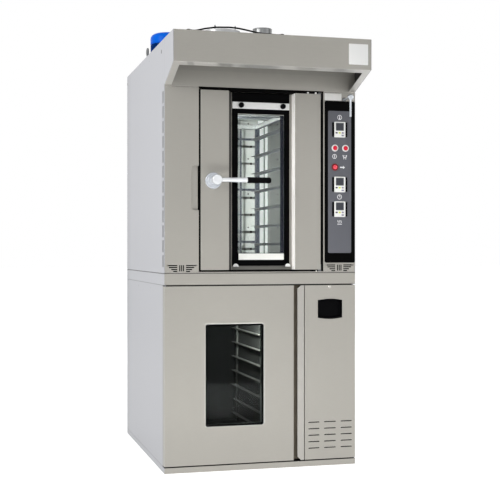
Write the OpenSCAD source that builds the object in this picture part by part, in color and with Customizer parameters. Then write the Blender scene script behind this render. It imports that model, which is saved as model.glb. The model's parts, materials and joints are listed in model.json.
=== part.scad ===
// Rotating rack oven standing on a proving cabinet, with a hood over the oven door.
// +X is to the right, the front faces -Y, +Z is up. The origin is on the floor, in the middle
// of the width and of the whole depth, hood included.

/* [Cabinet] */
// Width of the cabinet
body_w = 1000; // [900:10:1200]
// Depth of the cabinet behind its front, without the hood
body_d = 1230; // [1200:10:1500]
// Height of the plinth
plinth_h = 30; // [20:1:60]
// Height of the proving cabinet's top above the floor
base_h = 930; // [780:10:1120]
// Height of the band between the two cabinets
band_h = 58; // [45:1:90]
// Height of the oven part above the band
oven_h = 1162; // [1100:2:1400]
// Thickness of the outer sheets
sheet_t = 2; // [1.5:0.1:2.4]
// Depth and width of the bars of the plinth and of the band
bar_t = 30; // [26:1:36]

/* [Hood] */
// How far the hood stands in front of the cabinet
hood_out = 230; // [190:5:280]
// Height of the hood's front
fascia_h = 152; // [125:1:185]
// Height of the hood's sides where they meet the cabinet
cheek_h = 229; // [215:1:275]
// Width of the folded lip under the hood
lip_w = 34; // [20:1:44]
// Thickness of the grease filter cassettes
filter_t = 12; // [8:1:16]
// Number of grease filter cassettes
filter_n = 3; // [2:1:4]

/* [Oven door opening] */
// Width of the front pillar on each side of the opening
pillar_w = 174; // [150:1:205]
// Height of the sill under the opening
sill_h = 8; // [6:1:12]
// Height of the opening
opening_h = 917; // [800:1:960]
// Depth of the seal between the closed door and its land
seal_t = 8; // [6:0.5:12]
// Width of the land that the seal meets
land_w = 26; // [20:1:32]

/* [Oven door] */
// Thickness of the door
door_t = 70; // [58:1:84]
// Gap round the door
door_gap = 9; // [8:1:12]
// Gap at the hinge side
hinge_gap = 14; // [13:1:16]
// Width of the panel on the handle side
stile_w = 145; // [125:1:170]
// Width of the panel on the hinge side
hinge_stile_w = 138; // [115:1:165]
// Distance of the hinge axis from the opening's right edge
pivot_in = 16.5; // [16.5:0.1:18]
// Distance of the hinge axis behind the front
pivot_d = 9; // [8.5:0.1:9.5]
// Diameter of the hinge pins
pivot_dia = 8; // [6:0.5:9]
// Radial running clearance of pins and shafts
run_gap = 0.05; // [0.02:0.01:0.1]
// Gap between pieces that lie side by side
joint_gap = 0.3; // [0.2:0.05:0.5]
// Distance of the outer glass from the door's back
glass_back = 25; // [24:1:32]
// Thickness of the outer glass
glass_t = 6; // [4:0.5:6]
// Distance of the recess's back plate from the door's back
recess_back = 14; // [12:0.5:14.5]
// Space between the glass and the door's left and right panels
glass_side = [27, 16];
// Height of the glass above the door's lower edge
glass_low = 20; // [19:1:30]
// Distance of the window's aperture from the glass's edge: left, right, bottom, top
aperture_in = [30, 24, 63, 107];
// Distance of the two clamp knobs from the glass's left and right edges
knob_in = [46, 37];
// Thickness of the inner glass
inner_glass_t = 4; // [3:0.5:5]

/* [Oven door handle] */
// Distance of the handle's spindle from the opening's left edge
spindle_in = 73; // [65:1:85]
// Height of the spindle above the opening's lower edge
spindle_h = 455; // [390:1:540]
// Diameter of the round plate behind the handle
rosette_dia = 82; // [70:1:98]
// Distance of the lever's centre in front of the door
lever_out = 84; // [70:1:100]
// Diameter of the lever
lever_dia = 25; // [20:1:28]
// Length of the lever from the spindle to the grip
lever_l = 153; // [130:1:180]
// Length of the grip
grip_l = 123; // [100:1:140]
// Diameter of the grip
grip_dia = 30; // [26:1:36]
// Diameter of the spindle
spindle_dia = 16; // [14:1:18]
// Length of the latch arm inside the door
latch_l = 97; // [94:1:99]

/* [Latch pocket] */
// Width of the pocket in the left pillar
pocket_w = 37; // [34:1:42]
// Height of the pocket's lower and upper edges from the spindle
pocket_z = [-148, 73];
// Depth of the pocket
pocket_d = 60; // [50:1:66]
// Depth of the finger dish in front of the latch arm
dish_d = 16; // [10:1:17]

/* [Rack] */
// Width of the trays
tray_w = 400; // [400:1:405]
// Length of the trays
tray_l = 600; // [595:1:605]
// Height from one tier to the next
tier_h = 102; // [85:1:120]
// Height of the lowest tier above the chamber floor
tier_low = 123; // [110:1:135]
// Side of the square posts
post_w = 25; // [20:1:28]
// Width of a tier's runner
runner_w = 25; // [20:1:30]
// Height of a runner's folded edge
runner_leg = 15; // [10:1:20]
// Clearance round the turning rack
swing_gap = 14; // [10:1:20]
// Depth of the rack's axis behind the cabinet's front
rack_d = 590; // [560:1:640]
// Diameter of the rack's drive shaft
shaft_dia = 30; // [25:1:36]
// Diameter of the rack's lower pivot
foot_dia = 20; // [16:1:24]

/* [Fan] */
// Distance of the fan's axis from the chamber's left wall
fan_in = 106; // [100:1:140]
// Depth of the fan's axis behind the cabinet's front
fan_d = 1020; // [1005:1:1045]
// Diameter of the fan wheel
wheel_dia = 184; // [150:1:188]
// Height of the fan wheel
wheel_h = 72; // [60:1:86]
// Number of blades
blade_n = 10; // [8:1:14]
// Diameter of the motor's housing
motor_dia = 210; // [180:1:250]
// Height of the motor above the roof
motor_h = 228; // [200:1:290]
// Diameter of the motor shaft
fan_shaft_dia = 19; // [16:1:22]

/* [Roof] */
// Diameter of the exhaust collar
exhaust_dia = 197; // [165:1:236]
// Height of the exhaust collar above the roof
exhaust_h = 66; // [60:1:90]
// Place of the exhaust collar: from the left side, behind the front
exhaust_at = [314, 102];
// Diameter of the steam flue
flue_dia = 100; // [84:1:120]
// Height of the steam flue above the roof
flue_h = 97; // [85:1:120]
// Place of the steam flue: from the left side, behind the front
flue_at = [535, 120];
// Depth of the two lifting eyes behind the front
eye_d = 600; // [500:5:700]

/* [Proving cabinet] */
// Thickness of the two lower doors
low_door_t = 45; // [40:1:50]
// Width of the proving door
proof_door_w = 723; // [650:1:745]
// Gap between the two lower doors, and under them
low_gap = 4; // [4:0.5:6]
// Distance of the lower hinge axes from the cabinet's sides
low_pivot_in = 9; // [8.5:0.5:9]
// Depth of the lower hinge axes
low_pivot_d = 22; // [21:1:24]
// Lower left corner of the proving door's window: across, and up from the floor
proof_win_at = [207.5, 223];
// Width and height of the proving door's window
proof_win = [302, 512];
// Left edge of the finger channel
channel_x = 668; // [600:1:680]
// Width of the finger channel's mouth
channel_w = 20.5; // [18:0.5:26]
// Depth of the finger channel
channel_d = 34; // [28:1:36]
// Width of the proving chamber
proof_room_w = 620; // [610:1:640]
// Height from one tier to the next in the proving chamber
proof_tier_h = 86; // [75:1:105]

/* [Service door] */
// Size of the flush pull: width, height at its sides, bow of its upper and lower edges
pull_size = [132, 90, 7];
// Place of the flush pull's centre from the cabinet's right side, and below the cabinet's top
pull_at = [137, 127];
// Number of rows of louvre slots
louvre_n = 5; // [3:1:6]
// Height from one louvre row to the next
louvre_h = 33; // [26:1:40]

/* [Controls] */
// Width of the control panel
panel_w = 165; // [140:1:168]
// Distances of the control panel's lower and upper edges from the opening's
panel_ends = [44, 42];
// Thickness of the control panel
panel_t = 3; // [2:0.5:4]
// Size of a controller's front: width, height
controller_size = [60, 80];
// Distances of the controllers' centres below the panel's upper edge
controller_at = [147, 429, 556];
// Distance of the controllers and of the first buttons from the cabinet's right side
control_in = 86; // [80:1:90]
// Diameter of a push button
button_dia = 20; // [17:0.5:22]
// Diameter of a button's collar
collar_dia = 34; // [28:0.5:37]
// Travel of a push button
button_travel = 3; // [2:0.5:4]
// Places of the push buttons: from the cabinet's right side, and below the panel's upper edge
button_at = [[112, 242], [55, 242], [112, 340]];
// Place of the damper spindle: from the cabinet's right side, and below the opening's upper edge
damper_at = [61, 33];
// Distance of the damper lever in front of the cabinet
damper_out = 95; // [80:1:110]
// Length of the damper lever
damper_l = 100; // [85:1:120]

/* [Hidden] */
$fn = 48;
eps = 0.01;
// Gap at the seams between sheets of one cabinet.
seam = 0.2;

// The cabinet's faces.
left_x = -body_w / 2;
right_x = body_w / 2;
front_y = (hood_out - body_d) / 2;
back_y = front_y + body_d;
hood_y = front_y - hood_out;
band_z = base_h;
oven_z = base_h + band_h;
roof_z = oven_z + oven_h;

// The oven door's opening.
open_x0 = left_x + pillar_w;
open_x1 = right_x - pillar_w;
open_z0 = oven_z + sill_h;
open_z1 = open_z0 + opening_h;
mouth_x0 = open_x0 + land_w;
mouth_x1 = open_x1 - land_w;
mouth_z0 = open_z0 + land_w;
mouth_z1 = open_z1 - land_w;
land_y = front_y + door_t + seal_t;

// The oven door.
leaf_x0 = open_x0 + door_gap;
leaf_x1 = open_x1 - hinge_gap;
leaf_z0 = open_z0 + door_gap;
leaf_z1 = open_z1 - door_gap;
leaf_y1 = front_y + door_t;
stile_x = leaf_x0 + stile_w;
hinge_stile_x = leaf_x1 - hinge_stile_w;
pivot_x = open_x1 - pivot_in;
pivot_y = front_y + pivot_d;
hinge_block_h = 36;
hinge_block_w = [9, 6, 6.7];
inner_panel_t = 2;
pane_x0 = stile_x + glass_side[0];
pane_x1 = hinge_stile_x - glass_side[1];
pane_z0 = leaf_z0 + glass_low;
pane_z1 = leaf_z1 - 1;
pane_y = leaf_y1 - glass_back;
hole_x0 = pane_x0 + aperture_in[0];
hole_x1 = pane_x1 - aperture_in[1];
hole_z0 = pane_z0 + aperture_in[2];
hole_z1 = pane_z1 - aperture_in[3];
recess_y = leaf_y1 - recess_back;
reveal_t = 4;
clamp_z = pane_z1 - 65;
clamp_h = 34;
clamp_t = 5;
knob_x = [pane_x0 + knob_in[0], pane_x1 - knob_in[1]];
knob_dia = 27;
knob_h = 15;
knob_shank_dia = 10;
knob_y = pane_y - joint_gap - clamp_t - joint_gap;

// The handle.
spindle_x = open_x0 + spindle_in;
spindle_z = open_z0 + spindle_h;
rosette_t = 10;
sleeve_dia = 26;
sleeve_l = 20;
hub_dia = 50;
hub_l = 30;
neck_dia = 34;
latch_w = 16;
latch_y = front_y + 24;
latch_t = 6;

// The latch pocket.
pocket_x0 = open_x0 - pocket_w;
pocket_z0 = spindle_z + pocket_z[0];
pocket_z1 = spindle_z + pocket_z[1];

// The rack, round its axis.
rack_y = front_y + rack_d;
rack_in = tray_w / 2 + 5;
post_x = rack_in + post_w / 2;
post_y = tray_l / 2 - 10;
swing_r = sqrt(pow(rack_in + post_w, 2) + pow(post_y + post_w / 2, 2));
runner_t = 2;

// The chamber.
room_z0 = mouth_z0;
room_z1 = mouth_z1;
room_x = max(swing_r + swing_gap, open_x1 + sheet_t + joint_gap);
room_y0 = land_y + sheet_t + joint_gap;
duct_y = rack_y + swing_r + swing_gap;
liner_t = 2;
wall_back = 76;
room_y1 = back_y - sheet_t - wall_back - liner_t;
plenum_h = 122;
plenum_z1 = room_z1 + plenum_h;
plenum_y0 = rack_y + 110;
bearing_h = 22;
cross_h = 20;
rack_z0 = room_z0 + bearing_h + 2;
rail_h = 20;
post_z0 = rack_z0 + cross_h;
top_bar_h = 25;
top_plate_h = 8;
flange_dia = 90;
flange_h = 8;
// From the topmost tier to the rack's upper edge, and from there to the chamber's ceiling.
tier_top = 83;
rack_head = top_plate_h + flange_h + 15;
tiers = 1 + floor((room_z1 - room_z0 - tier_low - tier_top - rack_head) / tier_h);
rack_z1 = room_z0 + tier_low + (tiers - 1) * tier_h + tier_top;
gearbox_h = 96;

// The fan.
fan_cx = fan_in - room_x;
fan_cy = front_y + fan_d;
wheel_z = room_z1 + liner_t + 10;
shaft_hole = 8;

// The roof.
roof_t = 2;
roof_drop = 2;
roof_top = roof_z - roof_drop;
flue_c = [left_x + flue_at[0], front_y + flue_at[1]];
exhaust_c = [left_x + exhaust_at[0], front_y + exhaust_at[1]];
collar_t = 3;
// The cowl's rounding over the fan motor: inwards and downwards.
dome = [34, 30];
exhaust_room = exhaust_at[1] + exhaust_dia / 2 + 15;
exhaust_room_h = 120;
cable_dia = 8;
// The cable's route over the roof: across from the left side, and up from the roof.
cable_route = [
  [95, 5], [105, 5], [117, 6], [131, 9], [146, 13], [162, 17], [185, 21], [209, 25], [234, 27],
  [259, 28], [283, 29], [318, 27], [353, 22.5], [393, 15.5], [425, 10], [450, 7.5], [475, 6.5],
  [500, 5.5], [515, 5], [530, 5]
];
cable_y = front_y - 200;
cable_sides = 10;

// The lower doors.
low_leaf_y1 = front_y + low_door_t;
low_z0 = plinth_h + low_gap;
low_z1 = base_h - low_gap - 1;
low_side_y = low_leaf_y1 + 3;
low_frame_y = low_leaf_y1 + 7;
low_frame_t = 20;
low_pivot_y = front_y + low_pivot_d;
proof_pivot_x = left_x + low_pivot_in;
service_pivot_x = right_x - low_pivot_in;
proof_x1 = left_x + proof_door_w;
service_x0 = proof_x1 + low_gap;
low_block = 6.7;
low_block_h = 30;
frame_stile_w = 28;
service_stile_w = 18;
frame_rail_h = 40;
stile_over = 18;
proof_room_x0 = left_x + 2 + frame_stile_w;
proof_room_x1 = proof_room_x0 + proof_room_w;
proof_room_z0 = plinth_h + frame_rail_h + 2;
proof_room_z1 = base_h - 50;
proof_room_y0 = low_frame_y + low_frame_t + joint_gap;
proof_room_y1 = back_y - sheet_t - wall_back - liner_t;
partition_x = proof_room_x1 + 38;
upright_t = 8;
proof_tier_low = 48;
proof_tiers = 1 + floor((proof_room_z1 - proof_room_z0 - proof_tier_low - 50) / proof_tier_h);
tray_floor_z = proof_room_z0 + joint_gap + sheet_t;
tray_x0 = proof_room_x0 + 150;
tray_x1 = tray_x0 + 160;
tray_y1 = proof_room_y1 - 90;
tray_y0 = tray_y1 - 200;
lip_cut = 19;
chan_x0 = left_x + channel_x;
chan_x1 = chan_x0 + channel_w;
pull_c = [right_x - pull_at[0], base_h - pull_at[1]];
pull_d = 28;
louvre_z = plinth_h + 59.5;

// The controls.
panel_x0 = right_x - 2 - panel_w;
panel_z0 = open_z0 + panel_ends[0];
panel_z1 = open_z1 - panel_ends[1];
controller_z = [for (z = controller_at) panel_z1 - z];
button_c = [for (p = button_at) [right_x - p[0], panel_z1 - p[1]]];
control_x = right_x - control_in;
damper_x = right_x - damper_at[0];
damper_z = open_z1 - damper_at[1];
damper_pipe_dia = 56;
damper_pipe_y = front_y + 50;
damper_shaft_dia = 10;

// A box between two corners.
module block(x0, x1, y0, y1, z0, z1)
  translate([x0, y0, z0]) cube([x1 - x0, y1 - y0, z1 - z0]);

// An outline in Y and Z, drawn out along X.
module along_x(x0, x1)
  translate([x0, 0, 0]) rotate([90, 0, 90]) linear_extrude(x1 - x0) children();

// An outline in X and Z, drawn out along Y.
module along_y(y0, y1)
  translate([0, y1, 0]) rotate([90, 0, 0]) linear_extrude(y1 - y0) children();

// A round bar along Y.
module rod_y(x, z, y0, y1, dia)
  translate([x, y0, z]) rotate([-90, 0, 0]) cylinder(d = dia, h = y1 - y0);

// A round bar along Z.
module rod_z(x, y, z0, z1, dia)
  translate([x, y, z0]) cylinder(d = dia, h = z1 - z0);

// A rectangle with round corners.
module round_rect(x0, x1, z0, z1, r) {
  polygon([[x0 + r, z0], [x1 - r, z0], [x1 - r, z1], [x0 + r, z1]]);
  polygon([[x0, z0 + r], [x1, z0 + r], [x1, z1 - r], [x0, z1 - r]]);
  for (x = [x0 + r, x1 - r], z = [z0 + r, z1 - r])
    translate([x, z]) circle(r);
}

// Four bars that lie round the cabinet's edge.
module bar_ring(z0, z1) {
  block(left_x, right_x, front_y, front_y + bar_t, z0, z1);
  block(left_x, right_x, back_y - bar_t, back_y, z0, z1);
  for (x = [left_x, right_x - bar_t])
    block(x, x + bar_t, front_y + bar_t + joint_gap, back_y - bar_t - joint_gap, z0, z1);
}

// A group of air slots: three upright ones between two fans of level ones.
module vent_slots(x) {
  slot_t = 5.2;
  row_z = [oven_z + 11, oven_z + 20.5, oven_z + 30.5, oven_z + 40];
  reach = [43, 53, 64, 75];
  for (i = [0:3], side = [-1, 1])
    block(min(x + side * 22, x + side * reach[i]), max(x + side * 22, x + side * reach[i]),
      front_y - 1, front_y + sheet_t + 1, row_z[i] - slot_t / 2, row_z[i] + slot_t / 2);
  for (i = [-1:1])
    block(x + i * 9.5 - slot_t / 2, x + i * 9.5 + slot_t / 2,
      front_y - 1, front_y + sheet_t + 1, oven_z + 11, oven_z + 42);
}

/* The cabinet. */

// The plinth's bars and the cabinet's floor.
module base_plinth() color("darkgray") {
  bar_ring(0, plinth_h);
  inset = bar_t + joint_gap;
  block(left_x + inset, right_x - inset, front_y + inset, back_y - inset, plinth_h - sheet_t, plinth_h);
}

module mid_band() color("silver") {
  bar_ring(band_z, oven_z);
  inset = bar_t + joint_gap;
  block(left_x + inset, right_x - inset, front_y + inset, back_y - inset, band_z, band_z + 4);
}

module lower_side_panels() color("lightsteelblue")
  for (x = [left_x, right_x - sheet_t])
    block(x, x + sheet_t, low_side_y, back_y, plinth_h, band_z);

module back_panels() color("lightsteelblue") {
  x = right_x - sheet_t - seam;
  block(-x, x, back_y - sheet_t, back_y, plinth_h, band_z);
  difference() {
    block(-x, x, back_y - sheet_t, back_y, oven_z, roof_top - roof_t);
    for (i = [-8:8])
      block(i * 40 - 12, i * 40 + 12, back_y - 3, back_y + 1, roof_z - 60, roof_z - 54);
  }
}

// The side sheets run forward into the hood's cheeks and have a column of air slots.
module oven_side_panels() color("lightsteelblue") {
  slot_h = 59;
  slot_pitch = 74;
  slot_n = floor((oven_h - cheek_h - 30) / slot_pitch);
  for (x = [left_x, right_x - sheet_t])
    difference() {
      along_x(x, x + sheet_t)
        polygon([
          [back_y, oven_z], [back_y, roof_z], [hood_y, roof_z],
          [hood_y, roof_z - fascia_h], [front_y, roof_z - cheek_h], [front_y, oven_z]
        ]);
      for (i = [0:slot_n - 1])
        block(x - 1, x + sheet_t + 1, front_y + 16, front_y + 52,
          oven_z + 32 + i * slot_pitch, oven_z + 32 + i * slot_pitch + slot_h);
    }
}

// A pillar: its face and the side of the rebate.
module pillar_profile()
  polygon([
    [left_x + sheet_t + seam, front_y], [open_x0, front_y], [open_x0, land_y - joint_gap],
    [open_x0 - sheet_t, land_y - joint_gap], [open_x0 - sheet_t, front_y + sheet_t],
    [left_x + sheet_t + seam, front_y + sheet_t]
  ]);

module oven_front_frame() color("darkkhaki") {
  difference() {
    translate([0, 0, open_z0]) linear_extrude(opening_h) pillar_profile();
    vent_slots(left_x + pillar_w / 2);
    along_y(front_y - 1, front_y + pocket_d + joint_gap)
      round_rect(pocket_x0 - joint_gap, open_x0 + 20, pocket_z0 - joint_gap, pocket_z1 + joint_gap, 15);
  }
  difference() {
    mirror([1, 0, 0]) translate([0, 0, open_z0]) linear_extrude(opening_h) pillar_profile();
    vent_slots(right_x - pillar_w / 2);
    control_cuts(front_y - 1, front_y + sheet_t + 1, 0.4);
    rod_y(damper_x, damper_z, front_y - 1, front_y + sheet_t + 1, damper_shaft_dia + 2);
  }
  x = right_x - sheet_t - seam;
  // The front wall above the opening, folded into the rebate's top, with the air's way out.
  difference() {
    along_x(-x, x)
      polygon([
        [front_y, open_z1 + joint_gap], [front_y + 20, open_z1 + joint_gap],
        [front_y + 20, open_z1 + sheet_t + joint_gap], [front_y + sheet_t, open_z1 + sheet_t + joint_gap],
        [front_y + sheet_t, roof_top - roof_t], [front_y, roof_top - roof_t]
      ]);
    block(exhaust_c[0] - 150, exhaust_c[0] + 150, front_y - 1, front_y + sheet_t + 1,
      roof_z - 68, roof_z - 18);
  }
  // The lands that the seal meets, at the sides of the mouth and above and below it.
  for (s = [-1, 1])
    block(min(s * (room_x + liner_t), s * mouth_x1), max(s * (room_x + liner_t), s * mouth_x1),
      land_y, land_y + sheet_t, open_z0, open_z1);
  lx0 = mouth_x0 + joint_gap;
  block(lx0, -lx0, land_y, land_y + sheet_t, mouth_z1, open_z1);
  block(lx0, -lx0, front_y + 21, land_y + sheet_t, open_z1 + joint_gap, open_z1 + joint_gap + sheet_t);
  block(lx0, -lx0, land_y, land_y + sheet_t, open_z0, mouth_z0);
  // The sill.
  block(-x, x, front_y, land_y + sheet_t, oven_z, open_z0 - joint_gap);
}

module roof_panel() color("lightsteelblue")
  difference() {
    x = right_x - sheet_t - seam;
    block(-x, x, hood_y + 3.3, back_y - seam, roof_top - roof_t, roof_top);
    rod_z(exhaust_c[0], exhaust_c[1], roof_top - 10, roof_top + 10, exhaust_dia - 2 * collar_t);
    rod_z(flue_c[0], flue_c[1], roof_top - 10, roof_top + 10, flue_dia - 2 * collar_t);
    rod_z(0, rack_y, roof_top - 10, roof_top + 10, shaft_dia + shaft_hole);
    rod_z(fan_cx, fan_cy, roof_top - 10, roof_top + 10, fan_shaft_dia + shaft_hole);
  }

module hood_fascia() color("darkkhaki") {
  x = right_x - sheet_t - seam;
  z = roof_z - fascia_h;
  drop = cheek_h - fascia_h;
  // The front, whose bottom is folded back in line with the cheeks' sloping edges.
  slope = drop / hood_out;
  y = [hood_y + 1, hood_y + 1 + sheet_t, hood_y + lip_w];
  along_x(-x, x)
    polygon([
      [y[0], roof_z], [y[0], z - slope], [y[2], z - slope * lip_w], [y[2], z - slope * lip_w + sheet_t],
      [y[1], z - slope * (1 + sheet_t) + sheet_t], [y[1], roof_z]
    ]);
  // The lips under the two cheeks.
  lip_z = z - slope * (lip_w + joint_gap);
  for (lx = [-x, x - lip_w])
    along_x(lx, lx + lip_w)
      polygon([
        [hood_y + lip_w + joint_gap, lip_z], [front_y - joint_gap, z - drop],
        [front_y - joint_gap, z - drop + sheet_t], [hood_y + lip_w + joint_gap, lip_z + sheet_t]
      ]);
}

module hood_filter() color("silver") {
  x = right_x - sheet_t - 0.6;
  w = (2 * x - (filter_n - 1) * joint_gap) / filter_n;
  z = roof_z - 86;
  slot_n = 9;
  for (i = [0:filter_n - 1]) {
    x0 = -x + i * (w + joint_gap);
    difference() {
      block(x0, x0 + w, hood_y + 1 + sheet_t + joint_gap, front_y - joint_gap, z, z + filter_t);
      for (k = [0:slot_n - 1])
        block(x0 + 25 + k * (w - 50) / slot_n, x0 + 25 + (k + 0.5) * (w - 50) / slot_n,
          hood_y + 30, front_y - 30, z - 1, z + filter_t + 1);
    }
  }
}

// Small plates left plain: the square one on the hood and the strip over the controls.
module plain_plates() color("gainsboro") {
  block(right_x - 119, right_x - 18, hood_y, hood_y + 1, roof_z - 129, roof_z - 26);
  block(right_x - 167, right_x - 75, front_y - 1, front_y, open_z1 - 39, open_z1 - 3);
}

/* The oven chamber. */

module oven_liner() color("silver") {
  xo = room_x + liner_t;
  y1 = room_y1 + liner_t;
  for (x = [-xo, room_x])
    block(x, x + liner_t, room_y0, y1, room_z0 - liner_t, plenum_z1);
  xi = room_x - joint_gap;
  block(-xi, xi, room_y0, room_y1 - joint_gap, room_z0 - liner_t, room_z0);
  difference() {
    block(-xi, xi, room_y0, duct_y, room_z1, room_z1 + liner_t);
    rod_z(0, rack_y, room_z1 - 1, room_z1 + 10, shaft_dia + shaft_hole);
    for (i = [-7:7])
      block(i * 45 - 15, i * 45 + 15, plenum_y0 + 40, duct_y - 50, room_z1 - 1, room_z1 + 10);
  }
  block(-xi, xi, room_y1, y1, room_z0 - liner_t, plenum_z1);
  block(-xi, xi, plenum_y0, plenum_y0 + liner_t, room_z1 + liner_t + joint_gap, plenum_z1);
  difference() {
    block(-xo, xo, plenum_y0, y1, plenum_z1 + joint_gap, plenum_z1 + joint_gap + liner_t);
    rod_z(fan_cx, fan_cy, plenum_z1 - 1, plenum_z1 + 10, fan_shaft_dia + shaft_hole);
  }
}

// The slotted panel that spreads the hot air over the tiers.
module duct_panel() color("gainsboro")
  difference() {
    x = room_x - joint_gap;
    block(-x, x, duct_y, duct_y + liner_t, room_z0 + joint_gap, room_z1 - joint_gap);
    for (i = [0:tiers - 1], side = [-1, 1])
      block(min(side * 20, side * (x - 90)), max(side * 20, side * (x - 90)), duct_y - 1, duct_y + 5,
        room_z0 + tier_low + i * tier_h - 40, room_z0 + tier_low + i * tier_h - 27);
  }

module u_element(x, y, z0, z1, w, dia) {
  for (s = [-1, 1])
    rod_z(x + s * w / 2, y, z0 + w / 2, z1, dia);
  translate([x, y, z0 + w / 2]) rotate([-90, 0, 0])
    rotate_extrude(angle = 180) translate([w / 2, 0]) circle(d = dia);
}

// Rod elements that hang in the hot-air duct, and one in the water tray.
module heating_elements() color("dimgray") {
  y = (duct_y + room_y1) / 2;
  for (x = [-80, 60, 200, 320])
    u_element(x, y, room_z0 + 40, room_z1 + 30, 60, 12);
  block(-130, 370, y - 14, room_y1 - joint_gap, room_z1 + 30, room_z1 + 46);
  tray_x = (tray_x0 + tray_x1) / 2;
  for (x = [tray_x - 40, tray_x + 40])
    rod_y(x, tray_floor_z + 12, tray_y0 + 30, tray_y1 - 20, 10);
  block(tray_x - 50, tray_x + 50, tray_y1 - 20, tray_y1 - 8, tray_floor_z, tray_floor_z + 18);
}

module floor_bearing() color("goldenrod")
  difference() {
    union() {
      rod_z(0, rack_y, room_z0, room_z0 + 6, 80);
      rod_z(0, rack_y, room_z0, room_z0 + bearing_h, 44);
    }
    rod_z(0, rack_y, room_z0 + 3, room_z0 + bearing_h + 1, foot_dia + 2 * run_gap);
  }

// Insulation between the sheets: sides, back, floor and top of the oven, and the proving chamber's.
module insulation() color("khaki") {
  gap = 0.5;
  xo = right_x - sheet_t - gap;
  xi = room_x + liner_t + gap;
  yo = back_y - sheet_t - gap;
  y0 = front_y + 100;
  z0 = oven_z + gap;
  zt = roof_top - roof_t - 4;
  yb = room_y1 + liner_t + gap;
  for (s = [-1, 1])
    block(min(s * xi, s * xo), max(s * xi, s * xo), y0, yo, z0, zt);
  x = xi - 2 * gap;
  block(-x, x, yb, yo, z0, zt);
  block(-x, x, y0, yb - 2 * gap, z0, room_z0 - liner_t - gap);
  difference() {
    block(gap - room_x, room_x - gap, y0, plenum_y0 - gap, room_z1 + liner_t + gap, zt);
    rod_z(0, rack_y, room_z1, roof_z, shaft_dia + 2 * shaft_hole);
    // Room under the roof for the air that leaves through the two collars.
    block(-x - 1, x + 1, y0 - 1, front_y + exhaust_room, roof_z - exhaust_room_h, roof_z);
  }
  difference() {
    block(-x, x, plenum_y0, yb - 2 * gap, plenum_z1 + liner_t + 2 * gap, zt);
    rod_z(fan_cx, fan_cy, plenum_z1, roof_z, fan_shaft_dia + 2 * shaft_hole);
  }
  // The proving chamber's.
  py0 = proof_room_y0 + 4;
  pyb = proof_room_y1 + liner_t + gap;
  block(left_x + sheet_t + gap, proof_room_x0 - liner_t - gap, py0, yo, plinth_h + 5, base_h - gap);
  block(proof_room_x1 + liner_t + gap, partition_x - gap, py0, yo, plinth_h + 5, base_h - gap);
  block(proof_room_x0, proof_room_x1, pyb, yo, plinth_h + 5, base_h - gap);
  block(proof_room_x0, proof_room_x1, py0, proof_room_y1, plinth_h + 5, proof_room_z0 - liner_t - gap);
  block(proof_room_x0, proof_room_x1, py0, proof_room_y1, proof_room_z1 + liner_t + gap, base_h - gap);
}

/* The rack. */

module rack_frame() color("slategray") {
  gap = 0.2;
  for (sx = [-1, 1], sy = [-1, 1])
    translate([sx * post_x - post_w / 2, rack_y + sy * post_y - post_w / 2, post_z0 + rail_h + gap])
      cube([post_w, post_w, rack_z1 - top_bar_h - post_z0 - rail_h - 2 * gap]);
  // Bars along the sides, below and above the posts.
  for (sx = [-1, 1], z = [post_z0, rack_z1 - top_bar_h])
    block(sx * post_x - post_w / 2, sx * post_x + post_w / 2, rack_y - post_y - post_w / 2,
      rack_y + post_y + post_w / 2, z, z + (z == post_z0 ? rail_h : top_bar_h));
  // Bars across the front and the back.
  xi = post_x - post_w / 2 - gap;
  for (sy = [-1, 1], z = [post_z0, rack_z1 - top_bar_h])
    translate([-xi, rack_y + sy * post_y - post_w / 2, z])
      cube([2 * xi, post_w, z == post_z0 ? rail_h : top_bar_h]);
  // The plate on top that carries the shaft, and the bar below with its pivot.
  block(-rack_in - post_w, rack_in + post_w, rack_y - 30, rack_y + 30, rack_z1 + gap, rack_z1 + top_plate_h);
  block(-rack_in - post_w, rack_in + post_w, rack_y - 20, rack_y + 20, rack_z0, post_z0 - gap);
  rod_z(0, rack_y, room_z0 + 3 + joint_gap, rack_z0 + eps, foot_dia);
  // Straps across the posts' backs, with upright stops for the trays.
  strap_y = rack_y + post_y + post_w / 2 + gap;
  for (z = [post_z0 + rail_h + 60, (post_z0 + rack_z1) / 2, rack_z1 - 90])
    block(-post_x, post_x, strap_y, strap_y + 3, z, z + 14);
  for (x = [-120, 120])
    block(x - 6, x + 6, strap_y - gap - 2, strap_y - gap, post_z0 + rail_h + gap, rack_z1 - top_bar_h - gap);
}

module rack_runners() color("lightgray")
  for (i = [0:tiers - 1], s = [-1, 1]) {
    z = room_z0 + tier_low + i * tier_h;
    x = rack_in - joint_gap;
    translate([0, rack_y + tray_l / 2, z]) rotate([90, 0, 0]) linear_extrude(tray_l)
      scale([s, 1]) polygon([
        [x, 0], [x, -runner_leg], [x - runner_t, -runner_leg], [x - runner_t, -runner_t],
        [x - runner_w, -runner_t], [x - runner_w, 0]
      ]);
  }

// The shaft that hangs and turns the rack, with its flange.
module rack_shaft() color("silver") {
  z = rack_z1 + top_plate_h;
  rod_z(0, rack_y, z, z + flange_h, flange_dia);
  rod_z(0, rack_y, z, roof_top + 60, shaft_dia);
}

// The geared motor on the roof, with the bore that the shaft turns in.
module rack_gearmotor() color("dimgray")
  difference() {
    union() {
      block(-80, 80, rack_y - 80, rack_y + 80, roof_top, roof_top + 12);
      block(-60, 60, rack_y - 60, rack_y + 60, roof_top + 12, roof_top + gearbox_h);
      translate([60, rack_y, roof_top + 58]) rotate([0, 90, 0]) cylinder(d = 86, h = 150);
      translate([210, rack_y, roof_top + 58]) rotate([0, 90, 0]) cylinder(d = 92, h = 30);
    }
    rod_z(0, rack_y, roof_top - 1, roof_top + 62, shaft_dia + 2 * run_gap);
    for (x = [-70, 70], y = [-70, 70])
      rod_z(x, rack_y + y, roof_top - 1, roof_top + 13, 9);
  }

/* The fan. */

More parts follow.
